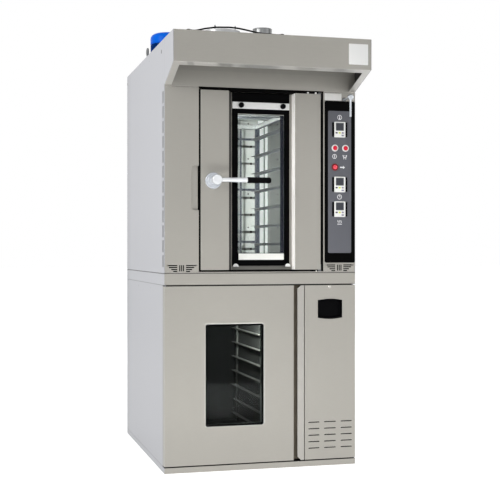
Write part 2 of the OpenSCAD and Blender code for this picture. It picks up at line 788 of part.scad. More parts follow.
module fan_wheel() color("silver") {
  rod_z(fan_cx, fan_cy, wheel_z + wheel_h - 3, wheel_z + wheel_h, wheel_dia);
  rod_z(fan_cx, fan_cy, wheel_z + 20, wheel_z + wheel_h, 46);
  rod_z(fan_cx, fan_cy, wheel_z + wheel_h, roof_top + 50, fan_shaft_dia);
  for (i = [0:blade_n - 1])
    translate([fan_cx, fan_cy, wheel_z]) rotate([0, 0, i * 360 / blade_n])
      translate([wheel_dia / 4, -1, 0]) cube([wheel_dia / 4 - 2, 2, wheel_h]);
}

module fan_motor() color("royalblue")
  translate([fan_cx, fan_cy, roof_top])
    difference() {
      rotate_extrude()
        polygon(concat(
          [[0, 0], [motor_dia / 2 - 12, 0], [motor_dia / 2 - 12, 14], [motor_dia / 2 - 4, 14],
            [motor_dia / 2 - 4, 30], [motor_dia / 2, 34]],
          [for (a = [0:15:90]) [motor_dia / 2 - dome[0] * (1 - cos(a)), motor_h - dome[1] * (1 - sin(a))]],
          [[0, motor_h]]
        ));
      translate([0, 0, -1]) cylinder(d = fan_shaft_dia + 2 * run_gap, h = 54);
    }

/* On the roof. */

module exhaust_collar() color("gainsboro")
  translate([exhaust_c[0], exhaust_c[1], roof_top])
    difference() {
      union() {
        cylinder(d = exhaust_dia, h = exhaust_h);
        cylinder(d = exhaust_dia + 40, h = 3);
      }
      translate([0, 0, -1]) cylinder(d = exhaust_dia - 2 * collar_t, h = exhaust_h + 2);
    }

module flue_collar() color("silver")
  translate([flue_c[0], flue_c[1], roof_top])
    difference() {
      union() {
        cylinder(d = flue_dia, h = flue_h);
        cylinder(d = flue_dia + 36, h = 3);
      }
      translate([0, 0, -1]) cylinder(d = flue_dia - 2 * collar_t, h = flue_h + 2);
    }

// A point of the cable's skin: ring i, corner k.
function cable_point(i, k) =
  let (
    n = len(cable_route),
    a = cable_route[max(i - 1, 0)],
    b = cable_route[min(i + 1, n - 1)],
    t = atan2(b[1] - a[1], b[0] - a[0]),
    q = 360 * k / cable_sides,
    r = cable_dia / 2
  ) [
    left_x + cable_route[i][0] - r * cos(q) * sin(t),
    cable_y + r * sin(q),
    roof_top + cable_route[i][1] + r * cos(q) * cos(t)
  ];

// The lead that runs over the roof between two glands.
module roof_cable() color("black") {
  n = len(cable_route);
  s = cable_sides;
  polyhedron(
    points = [for (i = [0:n - 1], k = [0:s - 1]) cable_point(i, k)],
    faces = concat(
      [[for (k = [s - 1:-1:0]) k]],
      [[for (k = [0:s - 1]) (n - 1) * s + k]],
      [for (i = [0:n - 2], k = [0:s - 1])
        [i * s + (k + 1) % s, (i + 1) * s + k, i * s + k]],
      [for (i = [0:n - 2], k = [0:s - 1])
        [i * s + (k + 1) % s, (i + 1) * s + (k + 1) % s, (i + 1) * s + k]]
    )
  );
  for (x = [cable_route[0][0] - 15, cable_route[n - 1][0] + 15])
    translate([left_x + x, cable_y, roof_top]) {
      cylinder(d = 30, h = 3);
      cylinder(d = 20, h = 10);
    }
  block(left_x + cable_route[0][0] - 15, left_x + cable_route[0][0], cable_y - 6, cable_y + 6,
    roof_top, roof_top + 10);
  block(left_x + cable_route[n - 1][0], left_x + cable_route[n - 1][0] + 15, cable_y - 6, cable_y + 6,
    roof_top, roof_top + 10);
}

module lifting_eyes() color("gray")
  for (x = [left_x + 18, right_x - 18])
    translate([x, front_y + eye_d, roof_top]) {
      cylinder(d = 24, h = 6);
      cylinder(d = 12, h = 24);
      translate([0, 0, 40]) rotate([0, 90, 0])
        rotate_extrude() translate([18, 0]) circle(d = 10);
    }

/* The oven door. */

module door_stiles() color("darkkhaki") {
  t = sheet_t;
  yb = leaf_y1 - inner_panel_t - joint_gap;
  difference() {
    block(leaf_x0, stile_x, front_y, yb, leaf_z0, leaf_z1);
    block(leaf_x0 + t, stile_x - t, front_y + t, yb + 1, leaf_z0 + t, leaf_z1 - t);
    rod_y(spindle_x, spindle_z, front_y - 1, front_y + t + 1, sleeve_dia + 0.4);
    block(leaf_x0 - 1, leaf_x0 + t + 1, latch_y - 3, latch_y + latch_t + 3,
      spindle_z - latch_l + 8, spindle_z + latch_w / 2 + 4);
  }
  difference() {
    block(hinge_stile_x, leaf_x1, front_y, yb, leaf_z0, leaf_z1);
    block(hinge_stile_x + t, leaf_x1 - t, front_y + t, yb + 1, leaf_z0 + t, leaf_z1 - t);
    for (z = [leaf_z0 - 1, leaf_z1 - hinge_block_h + 8])
      block(pivot_x - hinge_block_w[0] - 0.5, leaf_x1 + 1, front_y + t, pivot_y + hinge_block_w[2] + 0.5,
        z, z + hinge_block_h - 7);
  }
}

module door_hinges() color("dimgray")
  for (s = [0, 1]) {
    z0 = s == 0 ? leaf_z0 - door_gap + 1 : leaf_z1 + door_gap - 1 - hinge_block_h;
    difference() {
      block(pivot_x - hinge_block_w[0], pivot_x + hinge_block_w[1], front_y + sheet_t + joint_gap,
        pivot_y + hinge_block_w[2], z0, z0 + hinge_block_h);
      rod_z(pivot_x, pivot_y, z0 - 1 + s * 6, z0 + hinge_block_h - 5 + s * 6,
        pivot_dia + 2 * run_gap);
    }
  }

// The recess's back plate and the door's inner sheet, joined round the window.
module door_window_frame() color("silver")
  difference() {
    union() {
      block(stile_x + joint_gap, hinge_stile_x - joint_gap, recess_y, recess_y + 2, leaf_z0, leaf_z1);
      block(leaf_x0, leaf_x1, leaf_y1 - inner_panel_t, leaf_y1, leaf_z0, leaf_z1);
      block(hole_x0 - reveal_t, hole_x1 + reveal_t, recess_y, leaf_y1,
        hole_z0 - reveal_t, hole_z1 + reveal_t);
      for (x = knob_x)
        rod_y(x, clamp_z, pane_y + glass_t + joint_gap, recess_y + 1, 18);
    }
    block(hole_x0, hole_x1, recess_y - 1, leaf_y1 + 1, hole_z0, hole_z1);
    for (x = knob_x)
      rod_y(x, clamp_z, pane_y, recess_y + 3, knob_shank_dia + 2 * run_gap);
  }

module door_outer_glass() color("black", 0.5)
  difference() {
    block(pane_x0, pane_x1, pane_y, pane_y + glass_t, pane_z0, pane_z1);
    for (x = knob_x)
      rod_y(x, clamp_z, pane_y - 1, pane_y + glass_t + 1, knob_shank_dia + 3);
  }

module door_inner_glass() color("lightcyan", 0.4) {
  y = recess_y + 4;
  g = joint_gap;
  block(hole_x0 + g, hole_x1 - g, y, y + inner_glass_t, hole_z0 + g, hole_z1 - g);
}

// The bar across the top of the glass and the two clips under it.
module glass_holders() color("whitesmoke") {
  y1 = pane_y - joint_gap;
  difference() {
    block(pane_x0 + 1, pane_x1 - 1, y1 - clamp_t, y1, clamp_z - clamp_h / 2, clamp_z + clamp_h / 2);
    for (x = knob_x)
      rod_y(x, clamp_z, y1 - clamp_t - 1, y1 + 1, knob_shank_dia + 0.6);
  }
  for (x = [pane_x0 + 19, pane_x1 - 9])
    difference() {
      union() {
        block(x - 9, x + 9, y1 - 4, recess_y - joint_gap, pane_z0 - 6, pane_z0 - joint_gap);
        rod_y(x, pane_z0 - 3, y1 - 4, y1, 28);
      }
      block(x - 20, x + 20, y1 - 5, recess_y, pane_z0 - 30, pane_z0 - 6);
    }
}

module clamp_knob(x) color("black") {
  rod_y(x, clamp_z, knob_y - knob_h, knob_y, knob_dia);
  rod_y(x, clamp_z, knob_y, recess_y + 5, knob_shank_dia);
}

module clamp_knob_left() clamp_knob(knob_x[0]);

module clamp_knob_right() clamp_knob(knob_x[1]);

// The seal: a band round the door's edge, and a ring on its back that meets the land.
module door_gasket() color("black") {
  y0 = front_y + 4;
  y1 = front_y + 40;
  w = door_gap - 2;
  g = joint_gap;
  hx = pivot_x - hinge_block_w[0] - 2;
  difference() {
    block(leaf_x0 - w, leaf_x0 - g, y0, y1, leaf_z0, leaf_z1);
    block(leaf_x0 - w - 1, leaf_x0 + 1, latch_y - 3, latch_y + latch_t + 3,
      spindle_z - latch_l + 8, spindle_z + latch_w / 2 + 4);
  }
  for (z = [leaf_z0 - w, leaf_z1 + g])
    block(leaf_x0 - w, hx, y0, y1, z, z + w - g);
  block(leaf_x1 + g, leaf_x1 + 7, y0, y1, leaf_z0 + hinge_block_h, leaf_z1 - hinge_block_h);
  ring = 16;
  yr1 = land_y - g;
  yr0 = leaf_y1 + 0.1;
  for (x = [leaf_x0 + 1, leaf_x1 - 1 - ring])
    block(x, x + ring, yr0, yr1, leaf_z0 + 1, leaf_z1 - 1);
  for (z = [leaf_z0 + 1, leaf_z1 - 1 - ring])
    block(leaf_x0 + 1 + ring + g, leaf_x1 - 1 - ring - g, yr0, yr1, z, z + ring);
}

module handle_rosette() color("silver")
  difference() {
    union() {
      rod_y(spindle_x, spindle_z, front_y - rosette_t, front_y, rosette_dia);
      rod_y(spindle_x, spindle_z, front_y - 1, front_y + sleeve_l, sleeve_dia);
    }
    rod_y(spindle_x, spindle_z, front_y - rosette_t - 1, front_y + sleeve_l + 1, spindle_dia + 2 * run_gap);
  }

// The handle turns on its spindle; the arm at the spindle's end is the latch.
module handle_lever() color("silver") {
  y = front_y - lever_out;
  rod_y(spindle_x, spindle_z, y - hub_l / 2, y + hub_l / 2, hub_dia);
  rod_y(spindle_x, spindle_z, y, front_y - rosette_t - joint_gap, neck_dia);
  rod_y(spindle_x, spindle_z, y, latch_y + latch_t, spindle_dia);
  translate([spindle_x, y, spindle_z]) rotate([0, 90, 0]) cylinder(d = lever_dia, h = lever_l);
  block(spindle_x - latch_w / 2, spindle_x + latch_w / 2, latch_y, latch_y + latch_t,
    spindle_z - latch_l, spindle_z);
}

module handle_grip() color("black")
  translate([spindle_x + lever_l, front_y - lever_out, spindle_z]) rotate([0, 90, 0]) {
    cylinder(d = grip_dia, h = grip_l - 4);
    translate([0, 0, grip_l - 4]) cylinder(d1 = grip_dia, d2 = grip_dia - 8, h = 4);
  }

// The finger dish in the left pillar, and behind its plate the room that the latch arm turns into.
module latch_keeper() color("dimgray") {
  t = sheet_t;
  y1 = front_y + pocket_d;
  difference() {
    block(pocket_x0, open_x0 - t - seam, front_y + t + joint_gap, y1, pocket_z0, pocket_z1);
    for (y = [[front_y, front_y + dish_d], [front_y + dish_d + t, y1 - t]])
      block(pocket_x0 + t, open_x0 + 1, y[0], y[1], pocket_z0 + t, pocket_z1 - t);
  }
}

// The pins that all the doors turn on.
module hinge_pins() color("silver") {
  for (s = [0, 1]) {
    z0 = s == 0 ? open_z0 - joint_gap : leaf_z1 + door_gap - hinge_block_h + 6;
    rod_z(pivot_x, pivot_y, z0, z0 + hinge_block_h - 6, pivot_dia);
  }
  for (x = [proof_pivot_x, service_pivot_x]) {
    rod_z(x, low_pivot_y, plinth_h, plinth_h + low_block_h - 4, pivot_dia);
    rod_z(x, low_pivot_y, base_h - low_block_h, base_h, pivot_dia);
  }
}

/* The controls. */

// Room for the controllers and the buttons.
module control_cuts(y0, y1, gap) {
  w = controller_size[0] / 2 - 4 + gap;
  h = controller_size[1] / 2 - 4 + gap;
  for (z = controller_z)
    block(control_x - w, control_x + w, y0, y1, z - h, z + h);
  for (c = button_c)
    rod_y(c[0], c[1], y0, y1, button_dia + 4 + 2 * gap);
}

module control_panel() color("black")
  difference() {
    along_y(front_y - panel_t, front_y)
      round_rect(panel_x0, panel_x0 + panel_w, panel_z0, panel_z1, 10);
    control_cuts(front_y - panel_t - 1, front_y + 1, 0.4);
  }

module controllers() color("whitesmoke")
  for (z = controller_z) {
    y = front_y - panel_t;
    w = controller_size[0] / 2;
    h = controller_size[1] / 2;
    block(control_x - w, control_x + w, y - 6, y, z - h, z + h);
    block(control_x - w + 4, control_x + w - 4, y, front_y + 50, z - h + 4, z + h - 4);
  }

module button_collars() color("silver")
  for (c = button_c)
    difference() {
      y = front_y - panel_t;
      union() {
        rod_y(c[0], c[1], y - 6, y, collar_dia);
        rod_y(c[0], c[1], y, front_y + 20, button_dia + 4);
      }
      rod_y(c[0], c[1], y - 7, front_y + 21, button_dia + 2 * run_gap);
    }

module push_button(c) color("crimson") {
  y = front_y - panel_t - 6;
  rod_y(c[0], c[1], y - button_travel - 2, front_y + 14, button_dia);
}

module start_button() push_button(button_c[0]);

module stop_button() push_button(button_c[1]);

module signal_button() push_button(button_c[2]);

module damper_duct() color("lightgray")
  difference() {
    union() {
      rod_z(damper_x, damper_pipe_y, damper_z - 60, roof_top - roof_t, damper_pipe_dia);
      rod_y(damper_x, damper_z, front_y + sheet_t, damper_pipe_y - damper_pipe_dia / 2 + 4, 18);
    }
    rod_z(damper_x, damper_pipe_y, damper_z - 61, roof_top, damper_pipe_dia - 4);
    rod_y(damper_x, damper_z, front_y, damper_pipe_y, damper_shaft_dia + 2 * run_gap);
  }

// The damper's lever hangs from the end of its spindle.
module damper_lever() color("silver") {
  y = front_y - damper_out;
  rod_y(damper_x, damper_z, y, damper_pipe_y - 3.2, damper_shaft_dia);
  rod_y(damper_x, damper_z, y - 12, y + 12, 30);
  rod_z(damper_x, y, damper_z - damper_l, damper_z, 10.6);
}

module damper_flap() color("gray")
  difference() {
    union() {
      translate([damper_x, damper_pipe_y, damper_z - 1]) cylinder(d = damper_pipe_dia - 6, h = 2);
      rod_y(damper_x, damper_z, damper_pipe_y - 3, damper_pipe_y + 18, damper_shaft_dia);
    }
    block(damper_x - 6, damper_x + 6, damper_pipe_y - 40, damper_pipe_y - 3, damper_z - 10, damper_z + 10);
  }

/* The proving cabinet. */

module lower_front_frame() color("silver") {
  y0 = low_frame_y;
  y1 = low_frame_y + low_frame_t;
  g = joint_gap;
  z0 = plinth_h + frame_rail_h + g;
  z1 = base_h - 50 - g;
  x = right_x - sheet_t - seam;
  block(-x, proof_room_x0, y0, y1, z0, z1);
  block(proof_room_x1, service_x0 + stile_over, y0, y1, z0, z1);
  block(x - service_stile_w, x, y0, y1, z0, z1);
  block(-x, x, y0, y1, plinth_h, plinth_h + frame_rail_h);
  block(-x, x, y0, y1, base_h - 50, base_h);
}

module proofer_liner() color("lightgray") {
  t = liner_t;
  g = joint_gap;
  y1 = proof_room_y1 + t;
  for (x = [proof_room_x0 - t, proof_room_x1])
    block(x, x + t, proof_room_y0, y1, proof_room_z0 - t, proof_room_z1 + t);
  x0 = proof_room_x0 + g;
  x1 = proof_room_x1 - g;
  for (z = [proof_room_z0 - t, proof_room_z1])
    block(x0, x1, proof_room_y0, proof_room_y1 - g, z, z + t);
  block(x0, x1, proof_room_y1, y1, proof_room_z0 - t, proof_room_z1 + t);
  // The wall of the service compartment.
  block(partition_x, partition_x + t, proof_room_y0, back_y - sheet_t - g, plinth_h, base_h);
}

// Uprights on the chamber's side walls and the runners that the trays slide on.
module proofer_runners() color("lightgray") {
  g = joint_gap;
  for (s = [0, 1]) {
    wall = s == 0 ? proof_room_x0 : proof_room_x1;
    dir = s == 0 ? 1 : -1;
    for (y = [proof_room_y0 + 60, proof_room_y0 + 460, proof_room_y1 - 80])
      block(min(wall + dir * g, wall + dir * upright_t), max(wall + dir * g, wall + dir * upright_t),
        y, y + 20, proof_room_z0 + g, proof_room_z1 - 10);
    for (z = [0:proof_tier_h:(proof_tiers - 1) * proof_tier_h])
      translate([wall + dir * (upright_t + g), proof_room_y1 - 40, proof_room_z0 + proof_tier_low + z])
        rotate([90, 0, 0]) linear_extrude(proof_room_y1 - proof_room_y0 - 80)
          scale([dir, 1]) polygon([
            [0, 0], [0, -runner_leg], [runner_t, -runner_leg], [runner_t, -runner_t],
            [runner_w, -runner_t], [runner_w, 0]
          ]);
  }
}

module water_tray() color("silver") {
  t = sheet_t;
  z0 = proof_room_z0 + joint_gap;
  difference() {
    block(tray_x0, tray_x1, tray_y0, tray_y1, z0, z0 + 26);
    block(tray_x0 + t, tray_x1 - t, tray_y0 + t, tray_y1 - t, tray_floor_z, z0 + 27);
  }
}

module proofer_gasket() color("black") {
  y0 = low_leaf_y1 + joint_gap;
  y1 = low_frame_y - 0.1;
  w = 12;
  x0 = proof_room_x0 - w;
  x1 = proof_room_x1 + w;
  z0 = plinth_h + 20;
  z1 = base_h - 26;
  for (x = [x0, x1 - w])
    block(x, x + w, y0, y1, z0, z1);
  for (z = [z0, z1 - w])
    block(x0 + w + joint_gap, x1 - w - joint_gap, y0, y1, z, z + w);
}

// The bores of a lower door's hinge blocks.
module low_hinge_blocks(x) {
  for (z = [low_z0 + sheet_t + seam, low_z1 - sheet_t - seam - low_block_h])
    block(x - low_block, x + low_block, low_pivot_y - low_block, low_pivot_y + low_block,
      z, z + low_block_h);
}

module low_hinge_bores(x) {
  rod_z(x, low_pivot_y, low_z0 - 1, low_z0 + low_block_h - 2, pivot_dia + 2 * run_gap);
  rod_z(x, low_pivot_y, low_z1 - low_block_h + 2, low_z1 + 1, pivot_dia + 2 * run_gap);
}

module proofer_door_skin() color("darkkhaki") {
  t = sheet_t;
  x0 = left_x;
  x1 = chan_x0;
  yb = low_leaf_y1 - 2 - joint_gap;
  wx = left_x + proof_win_at[0];
  wz = proof_win_at[1];
  difference() {
    union() {
      difference() {
        block(x0, x1, front_y, yb, low_z0, low_z1);
        block(x0 + t, x1 - t, front_y + t, yb + 1, low_z0 + t, low_z1 - t);
      }
      low_hinge_blocks(proof_pivot_x);
    }
    low_hinge_bores(proof_pivot_x);
    along_y(front_y - 1, front_y + t + 1)
      round_rect(wx, wx + proof_win[0], wz, wz + proof_win[1], 12);
  }
  // The full-height handle: the channel's back, the door's edge and the lip in front of it.
  difference() {
    translate([0, 0, low_z0]) linear_extrude(low_z1 - low_z0)
      polygon([
        [x1 + joint_gap, front_y + channel_d], [proof_x1 - t, front_y + channel_d],
        [proof_x1 - t, front_y + t], [chan_x1 + 3, front_y + t], [chan_x1 + 3, front_y + 10],
        [chan_x1, front_y + 10], [chan_x1, front_y], [proof_x1, front_y],
        [proof_x1, yb], [x1 + joint_gap, yb]
      ]);
    for (s = [0, 1])
      along_y(front_y - 1, front_y + 12)
        polygon([
          [chan_x1 - 1, s == 0 ? low_z0 - 1 : low_z1 + 1],
          [chan_x1 + lip_cut, s == 0 ? low_z0 - 1 : low_z1 + 1],
          [chan_x1 - 1, s == 0 ? low_z0 + lip_cut : low_z1 - lip_cut]
        ]);
  }
}

// The door's inner sheet, folded forward to the glass.
module proofer_door_liner() color("silver") {
  wx0 = left_x + proof_win_at[0] + 8;
  wx1 = wx0 + proof_win[0] - 16;
  wz0 = proof_win_at[1] + 8;
  wz1 = wz0 + proof_win[1] - 16;
  y0 = front_y + sheet_t + joint_gap + 5 + joint_gap;
  difference() {
    union() {
      block(left_x + 1, proof_x1 - 1, low_leaf_y1 - 2, low_leaf_y1, low_z0 + 1, low_z1 - 1);
      block(wx0 - 2, wx1 + 2, y0, low_leaf_y1, wz0 - 2, wz1 + 2);
    }
    block(wx0, wx1, y0 - 1, low_leaf_y1 + 1, wz0, wz1);
  }
}

module proofer_glass() color("black", 0.5) {
  wx = left_x + proof_win_at[0];
  y = front_y + sheet_t + joint_gap;
  block(wx - 8, wx + proof_win[0] + 8, y, y + 5, proof_win_at[1] - 8, proof_win_at[1] + proof_win[1] + 8);
}

// The flush pull's outline: upright sides, bowed top and bottom.
module pull_outline(grow) {
  w = pull_size[0] / 2 + grow;
  h = pull_size[1] / 2 + grow;
  b = pull_size[2];
  polygon(concat(
    [for (i = [0:8]) [pull_c[0] - w + i * w / 4, pull_c[1] + h + b * sin(i * 22.5)]],
    [for (i = [0:8]) [pull_c[0] + w - i * w / 4, pull_c[1] - h - b * sin(i * 22.5)]]
  ));
}

module service_door() color("darkkhaki") {
  t = sheet_t;
  x0 = service_x0;
  x1 = right_x;
  wide = x1 - x0;
  difference() {
    union() {
      difference() {
        block(x0, x1, front_y, low_leaf_y1, low_z0, low_z1);
        block(x0 + t, x1 - t, front_y + t, low_leaf_y1 + 1, low_z0 + t, low_z1 - t);
      }
      low_hinge_blocks(service_pivot_x);
    }
    low_hinge_bores(service_pivot_x);
    along_y(front_y - 1, front_y + t + 1) pull_outline(joint_gap);
    for (c = [[0.07, 0.285], [0.38, 0.61], [0.71, 0.93]], i = [0:louvre_n - 1])
      block(x0 + c[0] * wide, x0 + c[1] * wide, front_y - 1, front_y + t + 1,
        louvre_z + i * louvre_h, louvre_z + i * louvre_h + 5);
  }
}

module service_pull() color("black")
  difference() {
    along_y(front_y, front_y + pull_d) pull_outline(0);
    along_y(front_y - 1, front_y + pull_d - 2) pull_outline(-4);
  }

module electrical_board() color("lightgray") {
  x0 = partition_x + liner_t + joint_gap;
  x1 = right_x - 30;
  y = front_y + 420;
  z1 = base_h - 60;
  rail = 35;
  unit_w = 44;
  unit_n = floor((x1 - x0 - 60) / (unit_w + 8));
  block(x0, x1, y, y + 3, plinth_h, z1);
  for (z = [z1 - 440, z1 - 290, z1 - 140]) {
    block(x0 + 20, x1 - 20, y - 8, y, z, z + rail);
    for (i = [0:unit_n - 1])
      block(x0 + 30 + i * (unit_w + 8), x0 + 30 + i * (unit_w + 8) + unit_w, y - 78, y - 8,
        z - 22, z + rail + 23);
  }
}

// The steam maker's tank with its filling and steam stubs.
module steam_tank() color("silver") {
  x = (partition_x + right_x) / 2;
  y = front_y + 250;
  rod_z(x, y, plinth_h, plinth_h + 12, 150);
  rod_z(x, y, plinth_h + 12, plinth_h + 250, 180);
  rod_z(x, y, plinth_h + 250, plinth_h + 310, 34);
  rod_y(x, plinth_h + 60, y, y + 130, 28);
}

base_plinth();
lower_side_panels();
back_panels();
lower_front_frame();
proofer_liner();
proofer_runners();
water_tray();
insulation();
electrical_board();
steam_tank();
mid_band();
oven_side_panels();
oven_front_frame();
oven_liner();
duct_panel();
heating_elements();
floor_bearing();
roof_panel();
hood_fascia();
hood_filter();
exhaust_collar();
flue_collar();
roof_cable();
lifting_eyes();
fan_motor();
rack_gearmotor();
control_panel();
controllers();
button_collars();
plain_plates();
latch_keeper();
hinge_pins();
damper_duct();
proofer_gasket();
door_stiles();
door_window_frame();
door_outer_glass();
door_inner_glass();
glass_holders();
door_gasket();
door_hinges();
handle_rosette();
clamp_knob_left();
clamp_knob_right();
handle_lever();
handle_grip();
rack_frame();
rack_runners();
rack_shaft();
fan_wheel();
proofer_door_skin();
proofer_door_liner();
proofer_glass();
service_door();
service_pull();
damper_lever();
damper_flap();
start_button();
stop_button();
signal_button();
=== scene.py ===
"""Looks of the rotating rack oven on its proving cabinet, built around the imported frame.

Sizes are in millimetres and become metres where a mesh is made. X is to the right, the front faces -Y, Z is up.
"""

import json
import math

import bmesh
import bpy
import numpy as np
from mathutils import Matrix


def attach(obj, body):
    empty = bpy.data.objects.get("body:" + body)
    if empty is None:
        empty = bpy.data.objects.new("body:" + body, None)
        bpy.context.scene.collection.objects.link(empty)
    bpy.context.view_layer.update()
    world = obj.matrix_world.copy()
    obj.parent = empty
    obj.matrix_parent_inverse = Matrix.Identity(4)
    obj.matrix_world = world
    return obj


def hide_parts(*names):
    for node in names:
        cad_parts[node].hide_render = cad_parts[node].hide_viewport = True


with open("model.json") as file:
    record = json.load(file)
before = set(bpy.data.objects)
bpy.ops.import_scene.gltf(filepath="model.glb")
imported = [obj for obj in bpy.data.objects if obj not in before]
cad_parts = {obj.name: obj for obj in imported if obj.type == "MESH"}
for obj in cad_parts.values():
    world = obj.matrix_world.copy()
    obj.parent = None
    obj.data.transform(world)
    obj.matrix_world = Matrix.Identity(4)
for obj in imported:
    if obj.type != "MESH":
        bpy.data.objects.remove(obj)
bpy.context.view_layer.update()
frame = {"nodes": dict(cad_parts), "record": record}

MM = 0.001
FRONT = -500.0
RECORD = frame["record"]
SLOT_OF = {s["node"]: s["material_slot"] for s in RECORD["subparts"]}
BODY_OF = {n: b for b, nodes in RECORD["behaviour"]["bodies"].items() for n in nodes}

# ---------------------------------------------------------------- camera, floor and light

EYE = (-1.459, -5.692, 1.105)
TURN = math.radians(-15.05)
LENS = 76.9


def make_camera():
    """The photograph's level camera, 15 degrees round to the left of the front."""
    data = bpy.data.cameras.new("camera")
    data.lens = LENS
    data.sensor_width = 36
    data.clip_end = 200
    cam = bpy.data.objects.new("camera", data)
    cam.location = EYE
    cam.rotation_euler = (math.radians(90), 0, TURN)
    bpy.context.collection.objects.link(cam)
    bpy.context.scene.camera = cam


def make_lamp(name, place, target, size, watts, spread=180):
    """A soft square lamp that faces a target; the spread is in degrees."""
    data = bpy.data.lights.new(name, "AREA")
    data.shape = "RECTANGLE"
    data.size, data.size_y = size
    data.energy = watts
    data.spread = math.radians(spread)
    lamp = bpy.data.objects.new(name, data)
    lamp.location = place
    way = np.array(target, float) - np.array(place, float)
    lamp.rotation_euler = (
        math.acos(-way[2] / np.linalg.norm(way)), 0, math.atan2(way[1], way[0]) - math.pi / 2
    )
    bpy.context.collection.objects.link(lamp)
    return lamp


def make_world(level):
    """White to the camera, to mirrors and through glass; the given level as light."""
    world = bpy.data.worlds.new("studio")
    world.use_nodes = True
    bpy.context.scene.world = world
    nodes, links = world.node_tree.nodes, world.node_tree.links
    nodes.clear()
    out = nodes.new("ShaderNodeOutputWorld")
    seen, light = nodes.new("ShaderNodeBackground"), nodes.new("ShaderNodeBackground")
    seen.inputs["Color"].default_value = (1, 1, 1, 1)
    seen.inputs["Strength"].default_value = 1.0
    light.inputs["Color"].default_value = (0.97, 0.985, 1, 1)
    light.inputs["Strength"].default_value = level
    path, mix = nodes.new("ShaderNodeLightPath"), nodes.new("ShaderNodeMixShader")
    first, second = nodes.new("ShaderNodeMath"), nodes.new("ShaderNodeMath")
    first.operation = second.operation = "MAXIMUM"
    links.new(path.outputs["Is Camera Ray"], first.inputs[0])
    links.new(path.outputs["Is Glossy Ray"], first.inputs[1])
    links.new(first.outputs[0], second.inputs[0])
    links.new(path.outputs["Is Transmission Ray"], second.inputs[1])
    links.new(second.outputs[0], mix.inputs[0])
    links.new(light.outputs[0], mix.inputs[1])
    links.new(seen.outputs[0], mix.inputs[2])
    links.new(mix.outputs[0], out.inputs[0])


def make_floor():
    """A wide pale floor that keeps the object's shadow."""
    half = 60
    mesh = bpy.data.meshes.new("floor")
    mesh.from_pydata([(-half, -half, 0), (half, -half, 0), (half, half, 0), (-half, half, 0)], [], [(0, 1, 2, 3)])
    floor = bpy.data.objects.new("floor", mesh)
    floor.location.z = -0.0005
    bpy.context.collection.objects.link(floor)
    mat = bpy.data.materials.new("floor_white")
    mat.use_nodes = True
    nodes, links = mat.node_tree.nodes, mat.node_tree.links
    bsdf = nodes["Principled BSDF"]
    bsdf.inputs["Base Color"].default_value = (0.86, 0.86, 0.86, 1)
    bsdf.inputs["Roughness"].default_value = 0.9
    bsdf.inputs["Emission Color"].default_value = (1, 1, 1, 1)
    path = nodes.new("ShaderNodeLightPath")
    seen = path.outputs["Is Camera Ray"]
    for kind in ("Is Glossy Ray", "Is Transmission Ray"):
        either = nodes.new("ShaderNodeMath")
        either.operation = "MAXIMUM"
        links.new(seen, either.inputs[0])
        links.new(path.outputs[kind], either.inputs[1])
        seen = either.outputs[0]
    level = nodes.new("ShaderNodeMath")
    level.operation = "MULTIPLY"
    level.inputs[1].default_value = 0.68
    links.new(seen, level.inputs[0])
    links.new(level.outputs[0], bsdf.inputs["Emission Strength"])
    mesh.materials.append(mat)


scene = bpy.context.scene
scene.view_settings.view_transform = "Standard"
make_camera()
make_world(0.38)
make_floor()
make_lamp("key", (-6.2, -3.0, 4.0), (0, -0.1, 1.5), (3.0, 3.0), 255)
make_lamp("front", (-0.1, -2.4, 0.10), (0.0, -0.5, 0.05), (2.2, 0.18), 23).visible_glossy = False
make_lamp("right", (2.0, -1.8, 2.15), (0.5, -0.5, 1.1), (0.6, 0.6), 7)
make_lamp("back", (3.5, 6.5, 3.0), (0, 0.5, 1.2), (3.0, 3.0), 170)
for name, place, target, size, watts, spread in (
    ("chamber", (-0.27, -0.36, 1.455), (0.08, 0.45, 1.455), (0.06, 0.8), 14, 150),
    ("proofer", (-0.10, -0.20, 0.86), (0.15, 0.06, 0.66), (0.16, 0.05), 3.0, 100),
):
    make_lamp(name, place, target, size, watts, spread).visible_camera = False

# ---------------------------------------------------------------- shader groups


def new_group(name, inputs, outputs):
    """An empty node group with named sockets; each input is (name, kind, value)."""
    group = bpy.data.node_groups.new(name, "ShaderNodeTree")
    for label, kind, value in inputs:
        socket = group.interface.new_socket(label, in_out="INPUT", socket_type=kind)
        socket.default_value = value
    for label, kind in outputs:
        group.interface.new_socket(label, in_out="OUTPUT", socket_type=kind)
    return group, group.nodes.new("NodeGroupInput"), group.nodes.new("NodeGroupOutput")


def noise(nodes, scale, detail, rough=0.5):
    """A noise texture node."""
    node = nodes.new("ShaderNodeTexNoise")
    node.inputs["Scale"].default_value = scale
    node.inputs["Detail"].default_value = detail
    node.inputs["Roughness"].default_value = rough
    return node


def maths(nodes, kind, a=None, b=None, clamp=False):
    """A math node with plain values where they are given."""
    node = nodes.new("ShaderNodeMath")
    node.operation = kind
    node.use_clamp = clamp
    if a is not None:
        node.inputs[0].default_value = a
    if b is not None:
        node.inputs[1].default_value = b
    return node


def blend_colours(nodes, kind="MIX"):
    """A colour mix node: factor in 0, colours in 6 and 7, result out 2."""
    node = nodes.new("ShaderNodeMix")
    node.data_type = "RGBA"
    node.blend_type = kind
    return node


